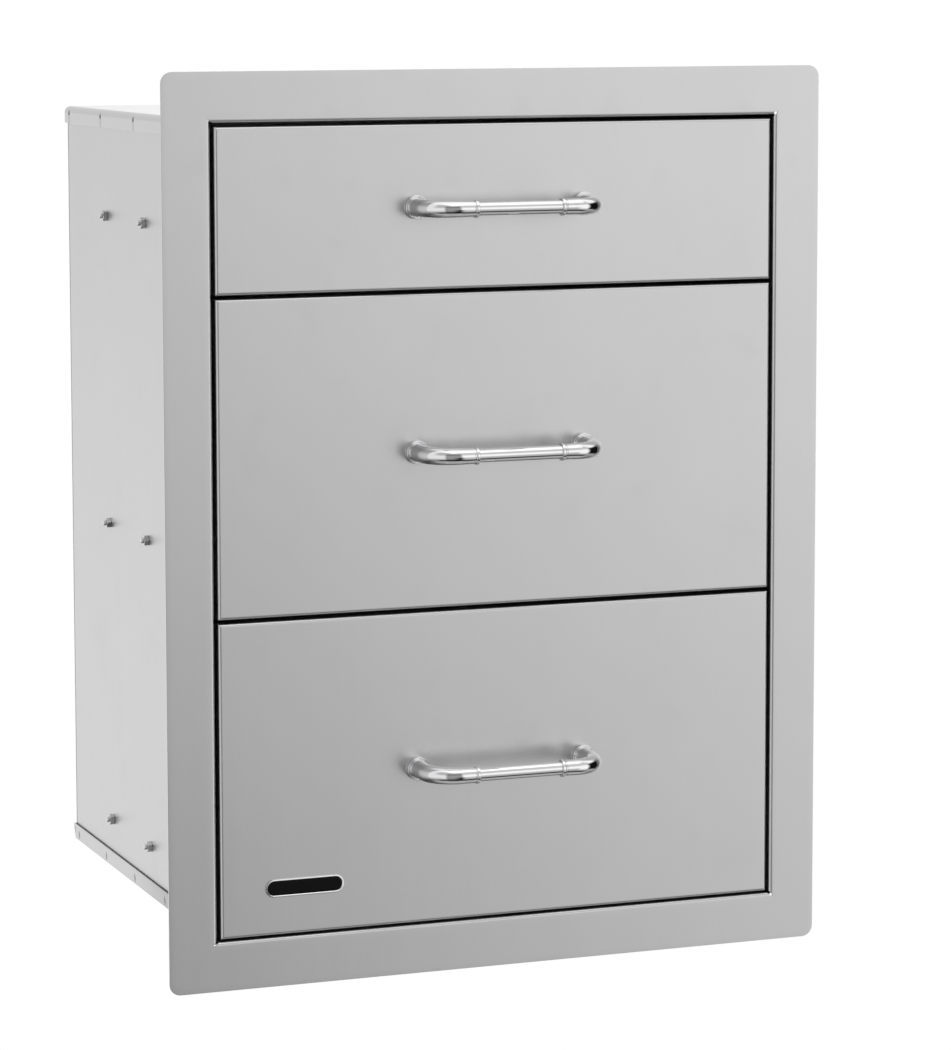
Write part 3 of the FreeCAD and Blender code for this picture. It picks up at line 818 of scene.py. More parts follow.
def dress(node: str, finish: Finish) -> None:
    """Gives a packed node one finish.

    Args:
        node: Name of the node, whose own mesh stays.
        finish: What it is finished in.
    """
    coat(bpy.data.objects[node], finish)
    log.info("%s dressed in %s", node, finish.name)


def coat(piece: Piece, finish: Finish) -> None:
    """Makes a finish the only material of a piece."""
    piece.data.materials.clear()
    piece.data.materials.append(finish.material())


def fit(piece: Piece, body: str, slot: str, finish: Finish, *nodes: str) -> None:
    """Dresses a new piece and puts it on its body.

    Args:
        piece: The piece, in place.
        body: Body of the packed model that it moves with.
        slot: Material slot of the record that its finish belongs to; not used.
        finish: What it is finished in.
        nodes: Packed nodes that it stands for.
    """
    steady(piece)
    coat(piece, finish)
    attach(piece, body)
    if nodes:
        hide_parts(*nodes)
    log.info("%s rides on %s, %d faces", piece.name, body, len(piece.data.polygons))


# Sub-assemblies

@dataclass
class FaceFrame:
    """Flange with rounded corners, folded back round the opening, with a slit at each mitre."""

    gauge: float = 1.5 * MM
    fold_radius: float = 2.8 * MM
    corner_radius: float = 9.5 * MM
    flange_width: float = 40.5 * MM
    kerf: float = 2.0 * MM
    edge_ease: float = 0.25 * MM
    flat_rows: int = 9
    corner_columns: int = 7
    straight_columns: int = 13
    node: str = "face_frame"

    def side(self, half: float, other: float, front: float, back: float) -> Array:
        """One side of the frame, as seen with the side to the right of the opening.

        A row is a line at an offset d outside the opening. Its point at s is (half + d, s), except past the
        straight stretch, where it runs round the corner: (half + d - r (1 - cos a), L + r sin a).

        Args:
            half: Half the opening across this side.
            other: Half the opening along it.
            front: Depth of the flange's face.
            back: Depth of the free edge of the return.

        Returns:
            Points as rows of offset and columns along the side.
        """
        slit = self.kerf / math.sqrt(2)
        fold = self.fold_radius
        bend = arc((fold, fold), fold, -QUARTER, -math.pi)
        widths = np.linspace(self.flange_width, fold, self.flat_rows)
        flat = np.column_stack((widths, np.zeros_like(widths)))
        rows = np.concatenate((flat, bend, [[0.0, back - front]]))
        offset, drop = rows[:, :1], rows[:, 1:]
        share = np.clip((offset - fold) / (self.flange_width - fold), 0, 1)
        radius = self.corner_radius * share
        is_fold = (np.arange(len(rows)) >= self.flat_rows)[:, None]
        turn = np.linspace(0, QUARTER / 2, self.corner_columns)[None, :]
        straight = other + offset - radius
        inner = np.linspace(-1, 1, self.straight_columns)[None, :] * (straight - slit)
        tip_along = np.where(is_fold, straight - slit, straight + radius * np.sin(turn))
        tip_across = half + offset - radius * (1 - np.cos(turn))
        middle = np.broadcast_to(half + offset, inner.shape)
        across = np.concatenate((tip_across[:, ::-1], middle, tip_across), 1)
        along = np.concatenate((-tip_along[:, ::-1], inner, tip_along), 1)
        depth = np.broadcast_to(front + drop, along.shape)
        return np.stack((across, depth, along), axis=-1)

    def make(self) -> None:
        """Builds the frame over its node."""
        low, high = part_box(self.node)
        half = high.x - self.flange_width
        other = high.z - self.flange_width
        right = self.side(half, other, low.y, high.y)
        above = self.side(other, half, low.y, high.y)[..., [2, 1, 0]]
        grids = [Grid(right), Grid(right * (-1, 1, 1)), Grid(above), Grid(above * (1, 1, -1))]
        piece = build("frame_sheet", grids, away_from=(0, 1, 0))
        thicken(piece, self.gauge, self.edge_ease)
        fit(piece, "cabinet", "frame_steel", BRUSHED, self.node)


@dataclass
class CabinetShell:
    """Side panels, back sheet and the two pans over and under them."""

    gauge: float = 0.95 * MM
    cap_radius: float = 5.5 * MM
    floor_radius: float = 2.7 * MM
    rear_radius: float = 2.0 * MM
    rear_short: float = 1.1 * MM
    side_back: float = 420 * MM
    cap_slit_inset: float = 8.1 * MM
    cap_slit_pitch: float = 102.5 * MM
    floor_slit_inset: float = 12.5 * MM
    floor_slit_pitch: float = 90.6 * MM
    floor_slit_start: float = 0.3 * MM
    floor_slit_height: float = 7.5 * MM
    front_clear: float = 30 * MM
    slit_width: float = 0.9 * MM
    relief_radius: float = 1.6 * MM
    relief_rows: int = 9
    relief_drop: float = 5.7 * MM
    flare: float = 1.0 * MM
    edge_ease: float = 0.2 * MM
    plain_nodes: tuple[str, ...] = ("cabinet_side_left", "cabinet_side_right", "cabinet_back")

    def slits(self, inset: float, pitch: float, first: float) -> Array:
        """Depths of the slits from the rear forwards, behind a first depth."""
        return np.arange(self.side_back - inset, first + self.front_clear, -pitch)

    def levels(self, wall: float, radius: float, keyhole: bool) -> Array:
        """Drops of the rows of points on a side wall, from its free edge up to the bend.

        Args:
            wall: Height of the walls.
            radius: Outside radius of the bends.
            keyhole: Whether the rows follow the round relief holes.

        Returns:
            The drops.
        """
        if keyhole:
            hole = self.relief_drop + self.relief_radius * np.cos(np.linspace(0, math.pi, self.relief_rows))
            found = np.concatenate((np.linspace(wall, hole[0], 3)[:-1], hole))
        else:
            found = np.array([wall, radius + self.floor_slit_height, radius + self.floor_slit_start])
        return found[found > radius + TINY]

    def cuts(self, drop: Array, is_wall: Array, radius: float, keyhole: bool) -> tuple[Array, Array]:
        """Where the rows of a pan are cut.

        Half the width is half the slit's, or at the relief hole sqrt(r * r - d * d) if that is more, where
        d is the distance from the hole's centre.

        Args:
            drop: Drop of each row below the pan's face.
            is_wall: Whether each row lies on a side wall.
            radius: Outside radius of the bends.
            keyhole: Whether each slit runs to the free edge from a round relief hole.

        Returns:
            Whether each row is cut, and half the width of the cut there.
        """
        narrow = self.slit_width / 2
        if keyhole:
            is_cut = is_wall & (drop > self.relief_drop - self.relief_radius)
            reach = self.relief_radius ** 2 - (drop - self.relief_drop) ** 2
            return is_cut, np.where(is_cut, np.maximum(narrow, np.sqrt(np.clip(reach, 0, None))), narrow)
        start, end = radius + self.floor_slit_start, radius + self.floor_slit_height
        return is_wall & (drop > start - TINY) & (drop < end + TINY), np.full(len(drop), narrow)

    def pan(self, node: str, radius: float, slits: Array, keyhole: bool) -> Grid:
        """A pan that opens away from its face, with its side walls slit.

        Its sections are crossed, and the wall beside a slit stands back from the slit's middle by half the
        width of the cut.

        Args:
            node: Packed node that the pan stands for.
            radius: Outside radius of its folds.
            slits: Depths of the slits.
            keyhole: Whether each slit runs to the free edge from a round relief hole.

        Returns:
            The outer skin.
        """
        low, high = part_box(node)
        wall = high.z - low.z
        levels = self.levels(wall, radius, keyhole)
        rows = np.column_stack((np.full(len(levels), high.x), levels))
        across = np.concatenate((rows * (-1, 1), pan_profile(high.x, wall, radius)[1:-1], rows[::-1]))
        rear = self.rear_radius
        bend = arc((high.y - rear, rear), rear, -QUARTER, 0, steps=6)
        edges = np.sort(np.repeat(slits, 2))
        along = np.concatenate(([[low.y, 0.0]], np.column_stack((edges, np.zeros_like(edges))), bend,
                                [[high.y, wall]]))
        is_wall = np.abs(across[:, 0]) > high.x - WELD / 2
        is_cut, half_width = self.cuts(across[:, 1], is_wall, radius, keyhole)
        columns = 1 + 2 * np.arange(len(slits))
        shift = np.zeros((len(across), len(along)))
        shift[:, columns] = -half_width[:, None]
        shift[:, columns + 1] = half_width[:, None]
        rear_wall = wall - self.rear_short if keyhole else wall
        most_flare = 0.0 if keyhole else self.flare

        def place(first: Array, second: Array, depth: Array) -> Array:
            """Points of the pan, with its side walls flared unless it is a cap, whose rear wall is short.

            Args:
                first: Positions across the pan.
                second: Positions along it.
                depth: Drops below its face.

            Returns:
                The points.
            """
            depth = np.where(second > slits.max(), np.minimum(depth, rear_wall), depth)
            flare = most_flare * np.clip((depth - radius) / (wall - radius), 0, 1) ** 2
            outward = np.where(is_wall[:, None], np.sign(first) * flare, 0.0)
            return np.stack((first + outward, second + shift, high.z - depth), axis=-1)

        keep = np.ones((len(across) - 1, len(along) - 1), dtype=bool)
        keep[np.ix_(is_cut[:-1] & is_cut[1:], columns)] = False
        return Grid(crossed(across, along, place), keep=keep)

    def finish_pan(self, name: str, skin: Grid, steel: PunchedSteel, node: str) -> None:
        """Makes a pan's skin a sheet and puts it over its node.

        Args:
            name: Name of the new piece.
            skin: The pan's outer skin.
            steel: What it is made of.
            node: Packed node that it stands for.
        """
        low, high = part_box(node)
        piece = build(name, [skin], away_from=(0, (low.y + high.y) / 2, 0))
        thicken(piece, self.gauge, self.edge_ease)
        fit(piece, "cabinet", "cabinet_steel", steel, node)

    def make(self) -> None:
        """Builds the pans and dresses the plain sheets."""
        low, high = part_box("cabinet_top")
        slits = self.slits(self.cap_slit_inset, self.cap_slit_pitch, low.y)
        # Painted shade round each relief hole of the cap.
        steel = replace(CAP_SHEET, first=self.side_back - self.cap_slit_inset, pitch=self.cap_slit_pitch,
                        level=high.z - self.relief_drop)
        cap = self.pan("cabinet_top", self.cap_radius, slits, keyhole=True)
        self.finish_pan("cabinet_cap_sheet", cap, steel, "cabinet_top")
        slits = self.slits(self.floor_slit_inset, self.floor_slit_pitch, low.y)
        bottom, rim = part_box("cabinet_floor")
        # Painted shade round each slot of the floor pan, and towards its front edge.
        steel = replace(FLOOR_SHEET, first=self.side_back - self.floor_slit_inset,
                        pitch=self.floor_slit_pitch,
                        level=bottom.z + self.floor_radius + self.floor_slit_height / 2)
        floor = self.pan("cabinet_floor", self.floor_radius, slits, keyhole=False)
        floor.points[..., 2] = bottom.z + rim.z - floor.points[..., 2]
        self.finish_pan("cabinet_floor_sheet", floor, steel, "cabinet_floor")
        for node in self.plain_nodes:
            dress(node, MILL)


@dataclass
class SlideFasteners:
    """Bolts through the slides and the cabinet's walls, with hexagon nuts outside."""

    across_flats: float = 8.0 * MM
    nut_height: float = 4.0 * MM
    chamfer: float = 0.95
    chamfer_slope: float = math.radians(30)
    lead_in: float = 0.3 * MM
    turn_between_nuts: float = 0.9
    bolt_radius: float = 2.5 * MM
    thread_pitch: float = 0.8 * MM
    thread_depth: float = 0.45 * MM
    thread_rows: int = 6
    tip_cone: float = 0.7 * MM
    head_radius: float = 4.3 * MM
    head_height: float = 1.4 * MM
    head_swell: float = 0.6
    tip_short: float = 1.2 * MM
    slide_gauge: float = 1.2 * MM
    insets: Triple = (30 * MM, 155 * MM, 271.9 * MM)
    nut_columns: int = 48
    bolt_columns: int = 24

    def places(self) -> list[Pair]:
        """Finds the bolts of one side.

        Returns:
            Depth and height of each bolt.
        """
        found = []
        for drawer in Drawer:
            low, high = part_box(f"{drawer.value}_slide_outer_right")
            found += [(low.y + inset, (low.z + high.z) / 2) for inset in self.insets]
        return found

    def nut(self, wall: float, depth: float, level: float, spin: float) -> Grid:
        """A chamfered hexagon nut on the right-hand wall.

        Round the axis the body's radius is f / (2 cos w), where w is the angle from the nearest flat's
        middle. Each end is cut by a cone that starts inside the flats.

        Args:
            wall: Distance of the wall's outer face from the middle of the unit.
            depth: Depth of the nut's axis.
            level: Height of its axis.
            spin: How far it is turned about its axis.

        Returns:
            The nut's surface.
        """
        turn = whole_turn(self.nut_columns)
        sixth = math.pi / 3
        body = self.across_flats / 2 / np.cos((turn + sixth / 2) % sixth - sixth / 2)
        face = np.full_like(turn, self.across_flats / 2 * self.chamfer)
        drop = (body - face) * math.tan(self.chamfer_slope)
        bore = np.full_like(turn, self.bolt_radius)
        zero = np.zeros_like(turn)
        lead, top = self.lead_in, zero + self.nut_height
        radius = np.stack((bore, bore + lead, face, body, body, face, bore + lead, bore))
        out = np.stack((zero + lead, zero, zero, drop, top - drop, top, top, top - lead))
        angle = turn + spin
        points = (wall + out, depth + radius * np.cos(angle), level + radius * np.sin(angle))
        return Grid(np.stack(points, axis=-1), wrap_rows=True, wrap_columns=True)

    def bolt(self, start: float, end: float, depth: float, level: float) -> list[Grid]:
        """A bolt on the right-hand side: its threaded shank and its low domed head.

        The radius falls from the crest by the thread's depth times a triangle wave of x / pitch - t / 2 pi,
        and the tip is held inside a cone.

        Args:
            start: Distance of the head's seat from the middle of the unit.
            end: Distance of the tip.
            depth: Depth of the bolt's axis.
            level: Height of its axis.

        Returns:
            The shank and the head.
        """
        turn = whole_turn(self.bolt_columns)[None, :]
        along = np.linspace(start, end, int((end - start) / (self.thread_pitch / self.thread_rows)))[:, None]
        phase = (along / self.thread_pitch - turn / ROUND) % 1.0
        radius = self.bolt_radius - self.thread_depth * np.abs(2 * phase - 1)
        radius = np.minimum(radius, self.bolt_radius - self.tip_cone + (end - along))
        centre = np.zeros_like(radius[:1])
        radius = np.concatenate((centre, radius, centre))
        along = np.concatenate((along[:1], along, along[-1:]))
        points = np.broadcast_arrays(along, depth + radius * np.cos(turn), level + radius * np.sin(turn))
        dome = arc((0, 0), 1.0, 0, QUARTER, steps=6)
        swelling = self.head_radius * dome[:, 0] ** self.head_swell
        profile = np.concatenate(([[0.0, 0.0], [0.0, self.head_radius]],
                                  np.column_stack((-self.head_height * dome[:, 1], swelling))))
        return [Grid(np.stack(points, axis=-1), wrap_columns=True),
                turned(profile, (start, depth, level), Axis.X, self.bolt_columns)]

    def make(self) -> None:
        """Builds all nuts as one piece and all bolts as another."""
        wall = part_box("cabinet_side_right")[1].x
        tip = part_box("slide_bolts")[1].x - self.tip_short
        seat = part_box("top_slide_outer_right")[1].x - self.slide_gauge
        nuts, bolts = [], []
        for index, (depth, level) in enumerate(self.places()):
            bolts += both_sides(self.bolt(seat, tip, depth, level))
            nuts += [self.nut(wall, depth, level, self.turn_between_nuts * index + side.value).on(side)
                     for side in Side]
        fit(build("slide_nut_set", nuts), "cabinet", "fastener_steel", FASTENER, "slide_nuts")
        fit(build("slide_bolt_set", bolts), "cabinet", "fastener_steel", FASTENER, "slide_bolts")


@dataclass
class DrawerFront:
    """Hollow front: an outer skin folded round its edges and a liner behind it."""

    drawer: Drawer
    gauge: float = 1.2 * MM
    bend_radius: float = 2.6 * MM
    edge_ease: float = 0.2 * MM

    def make(self) -> None:
        """Builds the skin and dresses the liner."""
        name = self.drawer.value
        node = f"{name}_front_panel"
        low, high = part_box(node)
        depth = high.y - low.y
        middle = (low.z + high.z) / 2
        across = pan_profile(high.x, depth, self.bend_radius)
        upright = pan_profile((high.z - low.z) / 2, depth, self.bend_radius)
        points = crossed(across, upright,
                         lambda x, z, drop: np.stack((x, low.y + drop, middle + z), axis=-1))
        piece = build(f"{name}_front_skin", [Grid(points)], away_from=(0, high.y, middle))
        thicken(piece, self.gauge, self.edge_ease)
        fit(piece, f"{name}_drawer", "frame_steel", BRUSHED, node)
        dress(f"{name}_front_liner", SATIN)


@dataclass
class Handle:
    """Two tapered elbows on rosettes, joined by a bar with a collar at each end."""

    drawer: Drawer
    centres: float = 145.4 * MM
    bend_radius: float = 24.0 * MM
    post_radius: float = 7.6 * MM
    end_radius: float = 6.4 * MM
    flare: float = 1.4 * MM
    flare_length: float = 12.0 * MM
    rosette_radius: float = 9.7 * MM
    rosette_ease: float = 0.3 * MM
    rosette_foot: float = 0.5 * MM
    rosette_rounds: tuple[float, ...] = (0, 0.3 * MM, 0.5 * MM, 0.2 * MM, 0.2 * MM, 0)
    post_overlap: float = 0.4 * MM
    rim_height: float = 4.2 * MM
    rim_width: float = 0.9 * MM
    floor_drop: float = 0.5 * MM
    bar_radius: float = 5.5 * MM
    ring_radius: float = 6.3 * MM
    ring_length: float = 1.5 * MM
    bead_radius: float = 7.1 * MM
    bead_length: float = 2.7 * MM
    groove: float = 0.35 * MM
    grip_margin: float = 4 * MM
    collar_rounds: tuple[float, ...] = (0, 0.35 * MM, 0.3 * MM, 0.1 * MM, 0.8 * MM, 0.35 * MM, 0.25 * MM, 0)
    rise_rows: int = 12
    bend_rows: int = 28
    run_rows: int = 4
    columns: int = 40
    slot: str = "handle_chrome"

    def elbow(self, face: float, axis_y: float, level: float, end: float) -> Grid:
        """The tapered tube from the rosette round the bend to the collar, on the right.

        Point = path(s) + r(s) * (cos t * n(s) + sin t * z), where n is the path's normal in its plane. The
        radius r falls evenly from the post to the collar, and near the foot it grows by the flare times the
        square of what is left of the flare's length.

        Args:
            face: Depth of the drawer front's face.
            axis_y: Depth of the bar's axis.
            level: Height of the handle.
            end: Distance of the elbow's end from the middle of the unit.

        Returns:
            The elbow's surface.
        """
        post = self.centres / 2
        centre = (post - self.bend_radius, axis_y + self.bend_radius)
        rise = np.linspace((post, face), (post, centre[1]), self.rise_rows)
        bend = arc(centre, self.bend_radius, 0, -QUARTER, self.bend_rows)
        run = np.linspace((centre[0], axis_y), (end, axis_y), self.run_rows)
        path = np.concatenate((rise[:-1], bend, run[1:]))
        length = np.concatenate(([0.0], np.cumsum(np.linalg.norm(np.diff(path, axis=0), axis=1))))
        radius = self.post_radius + (self.end_radius - self.post_radius) * length / length[-1]
        radius += self.flare * np.clip(1 - length / self.flare_length, 0, 1) ** 2
        direction = directions(path)
        turn = whole_turn(self.columns)[None, :]
        out = radius[:, None] * np.cos(turn)
        x = path[:, :1] - out * direction[:, 1:]
        y = path[:, 1:] + out * direction[:, :1]
        points = np.stack((x, y, level + radius[:, None] * np.sin(turn)), axis=-1)
        ends = np.insert(path[[0, -1]], 2, level, axis=1)[:, None]
        caps = np.broadcast_to(ends, (2, points.shape[1], 3))
        return Grid(np.concatenate((caps[:1], points, caps[1:])), wrap_columns=True)

    def rosette(self, face: float, level: float) -> Grid:
        """The turned foot: a steep wall, a narrow round rim and a groove round the post.

        Args:
            face: Depth of the drawer front's face.
            level: Height of the handle.

        Returns:
            The foot's surface, on the right.
        """
        outer, rim, ease = self.rosette_radius, self.rim_height, self.rosette_ease
        inner = outer - self.rim_width
        floor = rim - self.floor_drop
        line = rounded([(0, outer - ease), (self.rosette_foot, outer), (rim, outer - ease / 2),
                        (rim, inner), (floor, inner - ease), (floor, self.post_radius - self.post_overlap)],
                       self.rosette_rounds, steps=8)
        profile = np.concatenate(([[0, 0]], line, [[floor, 0]])) * (-1, 1)
        return turned(profile, (self.centres / 2, face, level), Axis.Y, steps=56)

    def bar(self, axis_y: float, level: float, end: float) -> Grid:
        """The grip with its collars, turned in one piece.

        From the elbow inwards each collar is a narrow ring, a groove, a round bead and the step down to
        the grip.

        Args:
            axis_y: Depth of the bar's axis.
            level: Height of the handle.
            end: Distance of the bar's ends from the middle of the unit.

        Returns:
            The bar's surface.
        """
        bead_end = end - self.ring_length
        bead_start = bead_end - self.bead_length
        ring, low = self.ring_radius, self.ring_radius - self.groove
        line = rounded([(end, 0), (end, ring), (bead_end + self.groove, ring), (bead_end, low),
                        (bead_end, self.bead_radius), (bead_start, self.bead_radius),
                        (bead_start, self.bar_radius), (bead_start - self.grip_margin, self.bar_radius)],
                       self.collar_rounds)
        profile = np.concatenate((line, line[::-1] * (-1, 1)))
        return turned(profile, (0, axis_y, level), Axis.X)

    def make(self) -> None:
        """Builds both pieces and dresses the screws behind them."""
        name = self.drawer.value
        body = f"{name}_drawer"
        low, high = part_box(f"{name}_handle_bar")
        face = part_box(f"{name}_front_panel")[0].y
        _, axis_y, level = middle_of(low, high)
        elbows = both_sides([self.elbow(face, axis_y, level, high.x), self.rosette(face, level)])
        fit(build(f"{name}_handle_elbow_pair", elbows), body, self.slot, CHROME, f"{name}_handle_elbows")
        grip = self.bar(axis_y, level, high.x)
        fit(build(f"{name}_handle_grip", [grip]), body, self.slot, CHROME, f"{name}_handle_bar")
        dress(f"{name}_handle_screws", FASTENER)


@dataclass
class BadgePlate:
    """Bare plate with round ends: a polished rim round a black field."""

    rim_width: float = 1.5 * MM
    rim_round: float = 0.35 * MM
    round_share: float = 0.3
    field_drop: float = 0.35 * MM
    field_seat: float = 0.2 * MM
    field_rises: Pair = (0.08 * MM, 0.12 * MM)
    field_share: float = 0.6
    lap: float = 0.3 * MM
    back_gap: float = 0.5 * MM
    behind: float = 20 * MM
    node: str = "badge_plate"

    def rings(self, profile: Sequence[Pair]) -> Grid:
        """Rings with two straight sides and round ends, one inside the other.

        Args:
            profile: How far each ring is drawn in from the plate's outline, and its depth.

        Returns:
            The surface through the rings.
        """
        low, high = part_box(self.node)
        x, _, z = middle_of(low, high)
        rings = []
        for inset, depth in profile:
            radius = max((high.z - low.z) / 2 - inset, WELD / 2)
            right = arc(((high.x - low.x) / 2 - inset - radius, 0), radius, -QUARTER, QUARTER, steps=24)
            outline = np.concatenate((right, -right))
            depths = np.full(len(outline), depth)
            rings.append(np.column_stack((x + outline[:, 0], depths, z + outline[:, 1])))
        return Grid(np.stack(rings), wrap_columns=True)

    def make(self) -> None:
        """Builds the rim and the field."""
        low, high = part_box(self.node)
        x, _, z = middle_of(low, high)
        behind = (x, high.y + self.behind, z)
        half = (high.z - low.z) / 2
        front, edge, wide = low.y, self.rim_round, self.rim_width
        eased = edge * self.round_share
        floor = front + self.field_drop
        rim = self.rings([(0, high.y), (0, front + edge), (eased, front + eased), (edge, front),
                          (wide - edge, front), (wide, front + edge), (wide, floor + self.lap),
                          (half - self.back_gap, floor + self.lap)])
        fit(build("badge_rim", [rim], behind), "bottom_drawer", "badge_black", CHROME, self.node)
        first, second = self.field_rises
        field = self.rings([(wide, floor + self.field_seat), (wide, floor), (wide + self.lap, floor - first),
                            (half * self.field_share, floor - second), (half, floor - second)])
        fit(build("badge_field", [field], behind), "bottom_drawer", "badge_black", ENAMEL)


@dataclass(frozen=True)
class Member:
    """A rolled member of a slide.

    Attributes:
        body: Body that it moves with, where {} stands for the drawer's name.
        half_line: Half of its section, from the free edge, as the distance from the cabinet's wall and the
            height above the slide's centre.
        gauge: Thickness of its sheet.
        length_of: Member whose ends it shares.
    """

    body: str
    half_line: tuple[Pair, ...]
    gauge: float = 1.1 * MM
    length_of: str = "inner"


@dataclass(frozen=True)
class Cage:
    """A ball cage of a slide.

    Attributes:
        web: Distance of its outer face from the cabinet's wall.
        reach: Distance of its free edges from that wall.
        seat: Distance of the balls' centres from it.
        height: Height of the balls above the slide's centre, and of the cage's edges.
        ball: Radius of the balls.
    """

    web: float
    reach: float
    seat: float
    height: float
    ball: float


@dataclass
class Slides:
    """The pair of telescopic slides of one drawer: three rolled members and two ball cages a side."""

    drawer: Drawer
    members: tuple[tuple[str, Member], ...] = (
        ("outer", Member("cabinet", ((9.2 * MM, 19.6 * MM), (9.2 * MM, 21.9 * MM), (0.6 * MM, 21.9 * MM)),
                         1.2 * MM, "outer")),
        ("middle", Member("{}_middle_members",
                          ((11.0 * MM, 15.1 * MM), (11.0 * MM, 16.75 * MM), (4.3 * MM, 16.75 * MM)))),
        ("inner", Member("{}_drawer",
                         ((6.4 * MM, 13.9 * MM), (6.4 * MM, 12.25 * MM), (12.15 * MM, 12.25 * MM)))),
    )
    cages: tuple[tuple[str, Cage], ...] = (
        ("outer", Cage(2.95 * MM, 8.2 * MM, 5.9 * MM, 19.3 * MM, 1.9 * MM)),
        ("inner", Cage(5.05 * MM, 10.7 * MM, 8.6 * MM, 14.5 * MM, 1.6 * MM)),
    )
    bend_radius: float = 1.3 * MM
    cage_gauge: float = 0.5 * MM
    balls: int = 9
    ball_pitch: float = 18 * MM

    def datum(self) -> Pair:
        """Distance of the cabinet's wall from the middle of the unit, and height of the slides."""
        low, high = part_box(f"{self.drawer.value}_slide_outer_right")
        return high.x, (low.z + high.z) / 2

    def rolled(self, half_line: Sequence[Pair], gauge: float, ends: Pair) -> list[Grid]:
        """One rolled strip on the right, from half of its section.

        Args:
            half_line: Half of the section, as the distance from the wall and the height above the centre.
            gauge: Thickness of the strip.
            ends: Depths of its front and rear ends.

        Returns:
            The strip's surfaces.
        """
        wall, level = self.datum()
        line = list(half_line) + [(offset, -height) for offset, height in half_line[::-1]]
        section = rounded(line, [0.0] + [self.bend_radius] * (len(line) - 2) + [0.0], steps=4)
        return strip(section, gauge,
                     lambda offset, height, depth: np.stack((wall - offset, np.full_like(offset, depth),
                                                             level + height), axis=-1), *ends)

    def ball_rows(self, cage: Cage, middle: float) -> list[Grid]:
        """Two rows of round balls in one cage on the right.

        Args:
            cage: The cage's sizes.
            middle: Depth of the middle of the rows.

        Returns:
            The balls.
        """
        wall, level = self.datum()
        dome = arc((0, 0), cage.ball, math.pi, 0)
        depths = middle + (np.arange(self.balls) - (self.balls - 1) / 2) * self.ball_pitch
        return [turned(dome, (wall - cage.seat, depth, level + sign * cage.height), Axis.X, steps=12)
                for depth in depths for sign in (-1, 1)]

    def make(self) -> None:
        """Builds the members and cages on both sides."""
        name = self.drawer.value
        for kind, member in self.members:
            low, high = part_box(f"{name}_slide_{member.length_of}_right")
            strips = self.rolled(member.half_line, member.gauge, (low.y, high.y))
            for side in Side:
                label = side.name.lower()
                piece = build(f"{name}_{kind}_member_{label}", [grid.on(side) for grid in strips])
                fit(piece, member.body.format(name), "slide_steel", ZINC, f"{name}_slide_{kind}_{label}")
        low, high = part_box(f"{name}_slide_inner_right")
        middle = (low.y + high.y) / 2
        for kind, cage in self.cages:
            body, node = f"{name}_{kind}_cages", f"{name}_ball_cages_{kind}"
            low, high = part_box(node)
            line = ((cage.reach, cage.height), (cage.web + self.cage_gauge / 2, cage.height))
            strips = both_sides(self.rolled(line, self.cage_gauge, (low.y, high.y)))
            fit(build(f"{name}_{kind}_cage_strips", strips), body, "cage_steel", CAGE, node)
            balls = both_sides(self.ball_rows(cage, middle))
            fit(build(f"{name}_{kind}_cage_balls", balls), body, "cage_steel", BALL)


@dataclass
class Tray:
    """Open drawer box with rolled lower edges and rims turned inwards."""

    drawer: Drawer
    gauge: float = 1.0 * MM
    rim: float = 9 * MM
    bottom_radius: float = 2.5 * MM
    rim_radius: float = 1.6 * MM
    corner_radius: float = 2.0 * MM
    least_radius: float = 0.2 * MM
    edge_ease: float = 0.2 * MM
    floor_insets: Pair = (30 * MM, 60 * MM)
    last_gap: float = 1 * MM
    floor_rings: int = 4

    def ring(self, low: Vector, high: Vector, inset: float, level: float) -> Array:
        """A rectangle with rounded corners, drawn in by an inset, at a level.

        Args:
            low: Lower corner of the tray's box.
            high: Its upper corner.
            inset: How far the rectangle is drawn in.
            level: Its height.

        Returns:
            Points round the rectangle.
        """
        radius = max(self.corner_radius - inset, self.least_radius)
        x, y = (high.x - low.x) / 2 - inset - radius, (high.y - low.y) / 2 - inset - radius
        centre = middle_of(low, high)
        outline = np.concatenate([
            arc((centre[0] + across * x, centre[1] + along * y), radius, turn * QUARTER,
                (turn + 1) * QUARTER, steps=4)
            for turn, (across, along) in enumerate(((1, 1), (-1, 1), (-1, -1), (1, -1)))])
        return np.column_stack((outline, np.full(len(outline), level)))

    def make(self) -> None:
        """Builds the tray and dresses its screws."""
        name = self.drawer.value
        node = f"{name}_tray"
        low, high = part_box(node)
        first, second = self.floor_insets
        section = rounded([(self.rim, high.z), (0, high.z), (0, low.z), (first, low.z)],
                          [0, self.rim_radius, self.bottom_radius, 0])
        last = (high.y - low.y) / 2 - self.last_gap
        inset = np.concatenate((section[:, 0], np.linspace(second, last, self.floor_rings)))
        level = np.concatenate((section[:, 1], np.full(self.floor_rings, low.z)))
        rings = np.stack([self.ring(low, high, float(a), float(b)) for a, b in zip(inset, level)])
        half = rings.shape[1] // 2
        seam = np.stack((rings[-1, :half], rings[-1, half:][::-1]))
        x, y, _ = middle_of(low, high)
        piece = build(f"{name}_tray_box", [Grid(rings, wrap_columns=True), Grid(seam)],
                      away_from=(x, y, high.z))
        thicken(piece, self.gauge, self.edge_ease)
        fit(piece, f"{name}_drawer", "tray_steel", SATIN, node)
        dress(f"{name}_tray_screws", FASTENER)


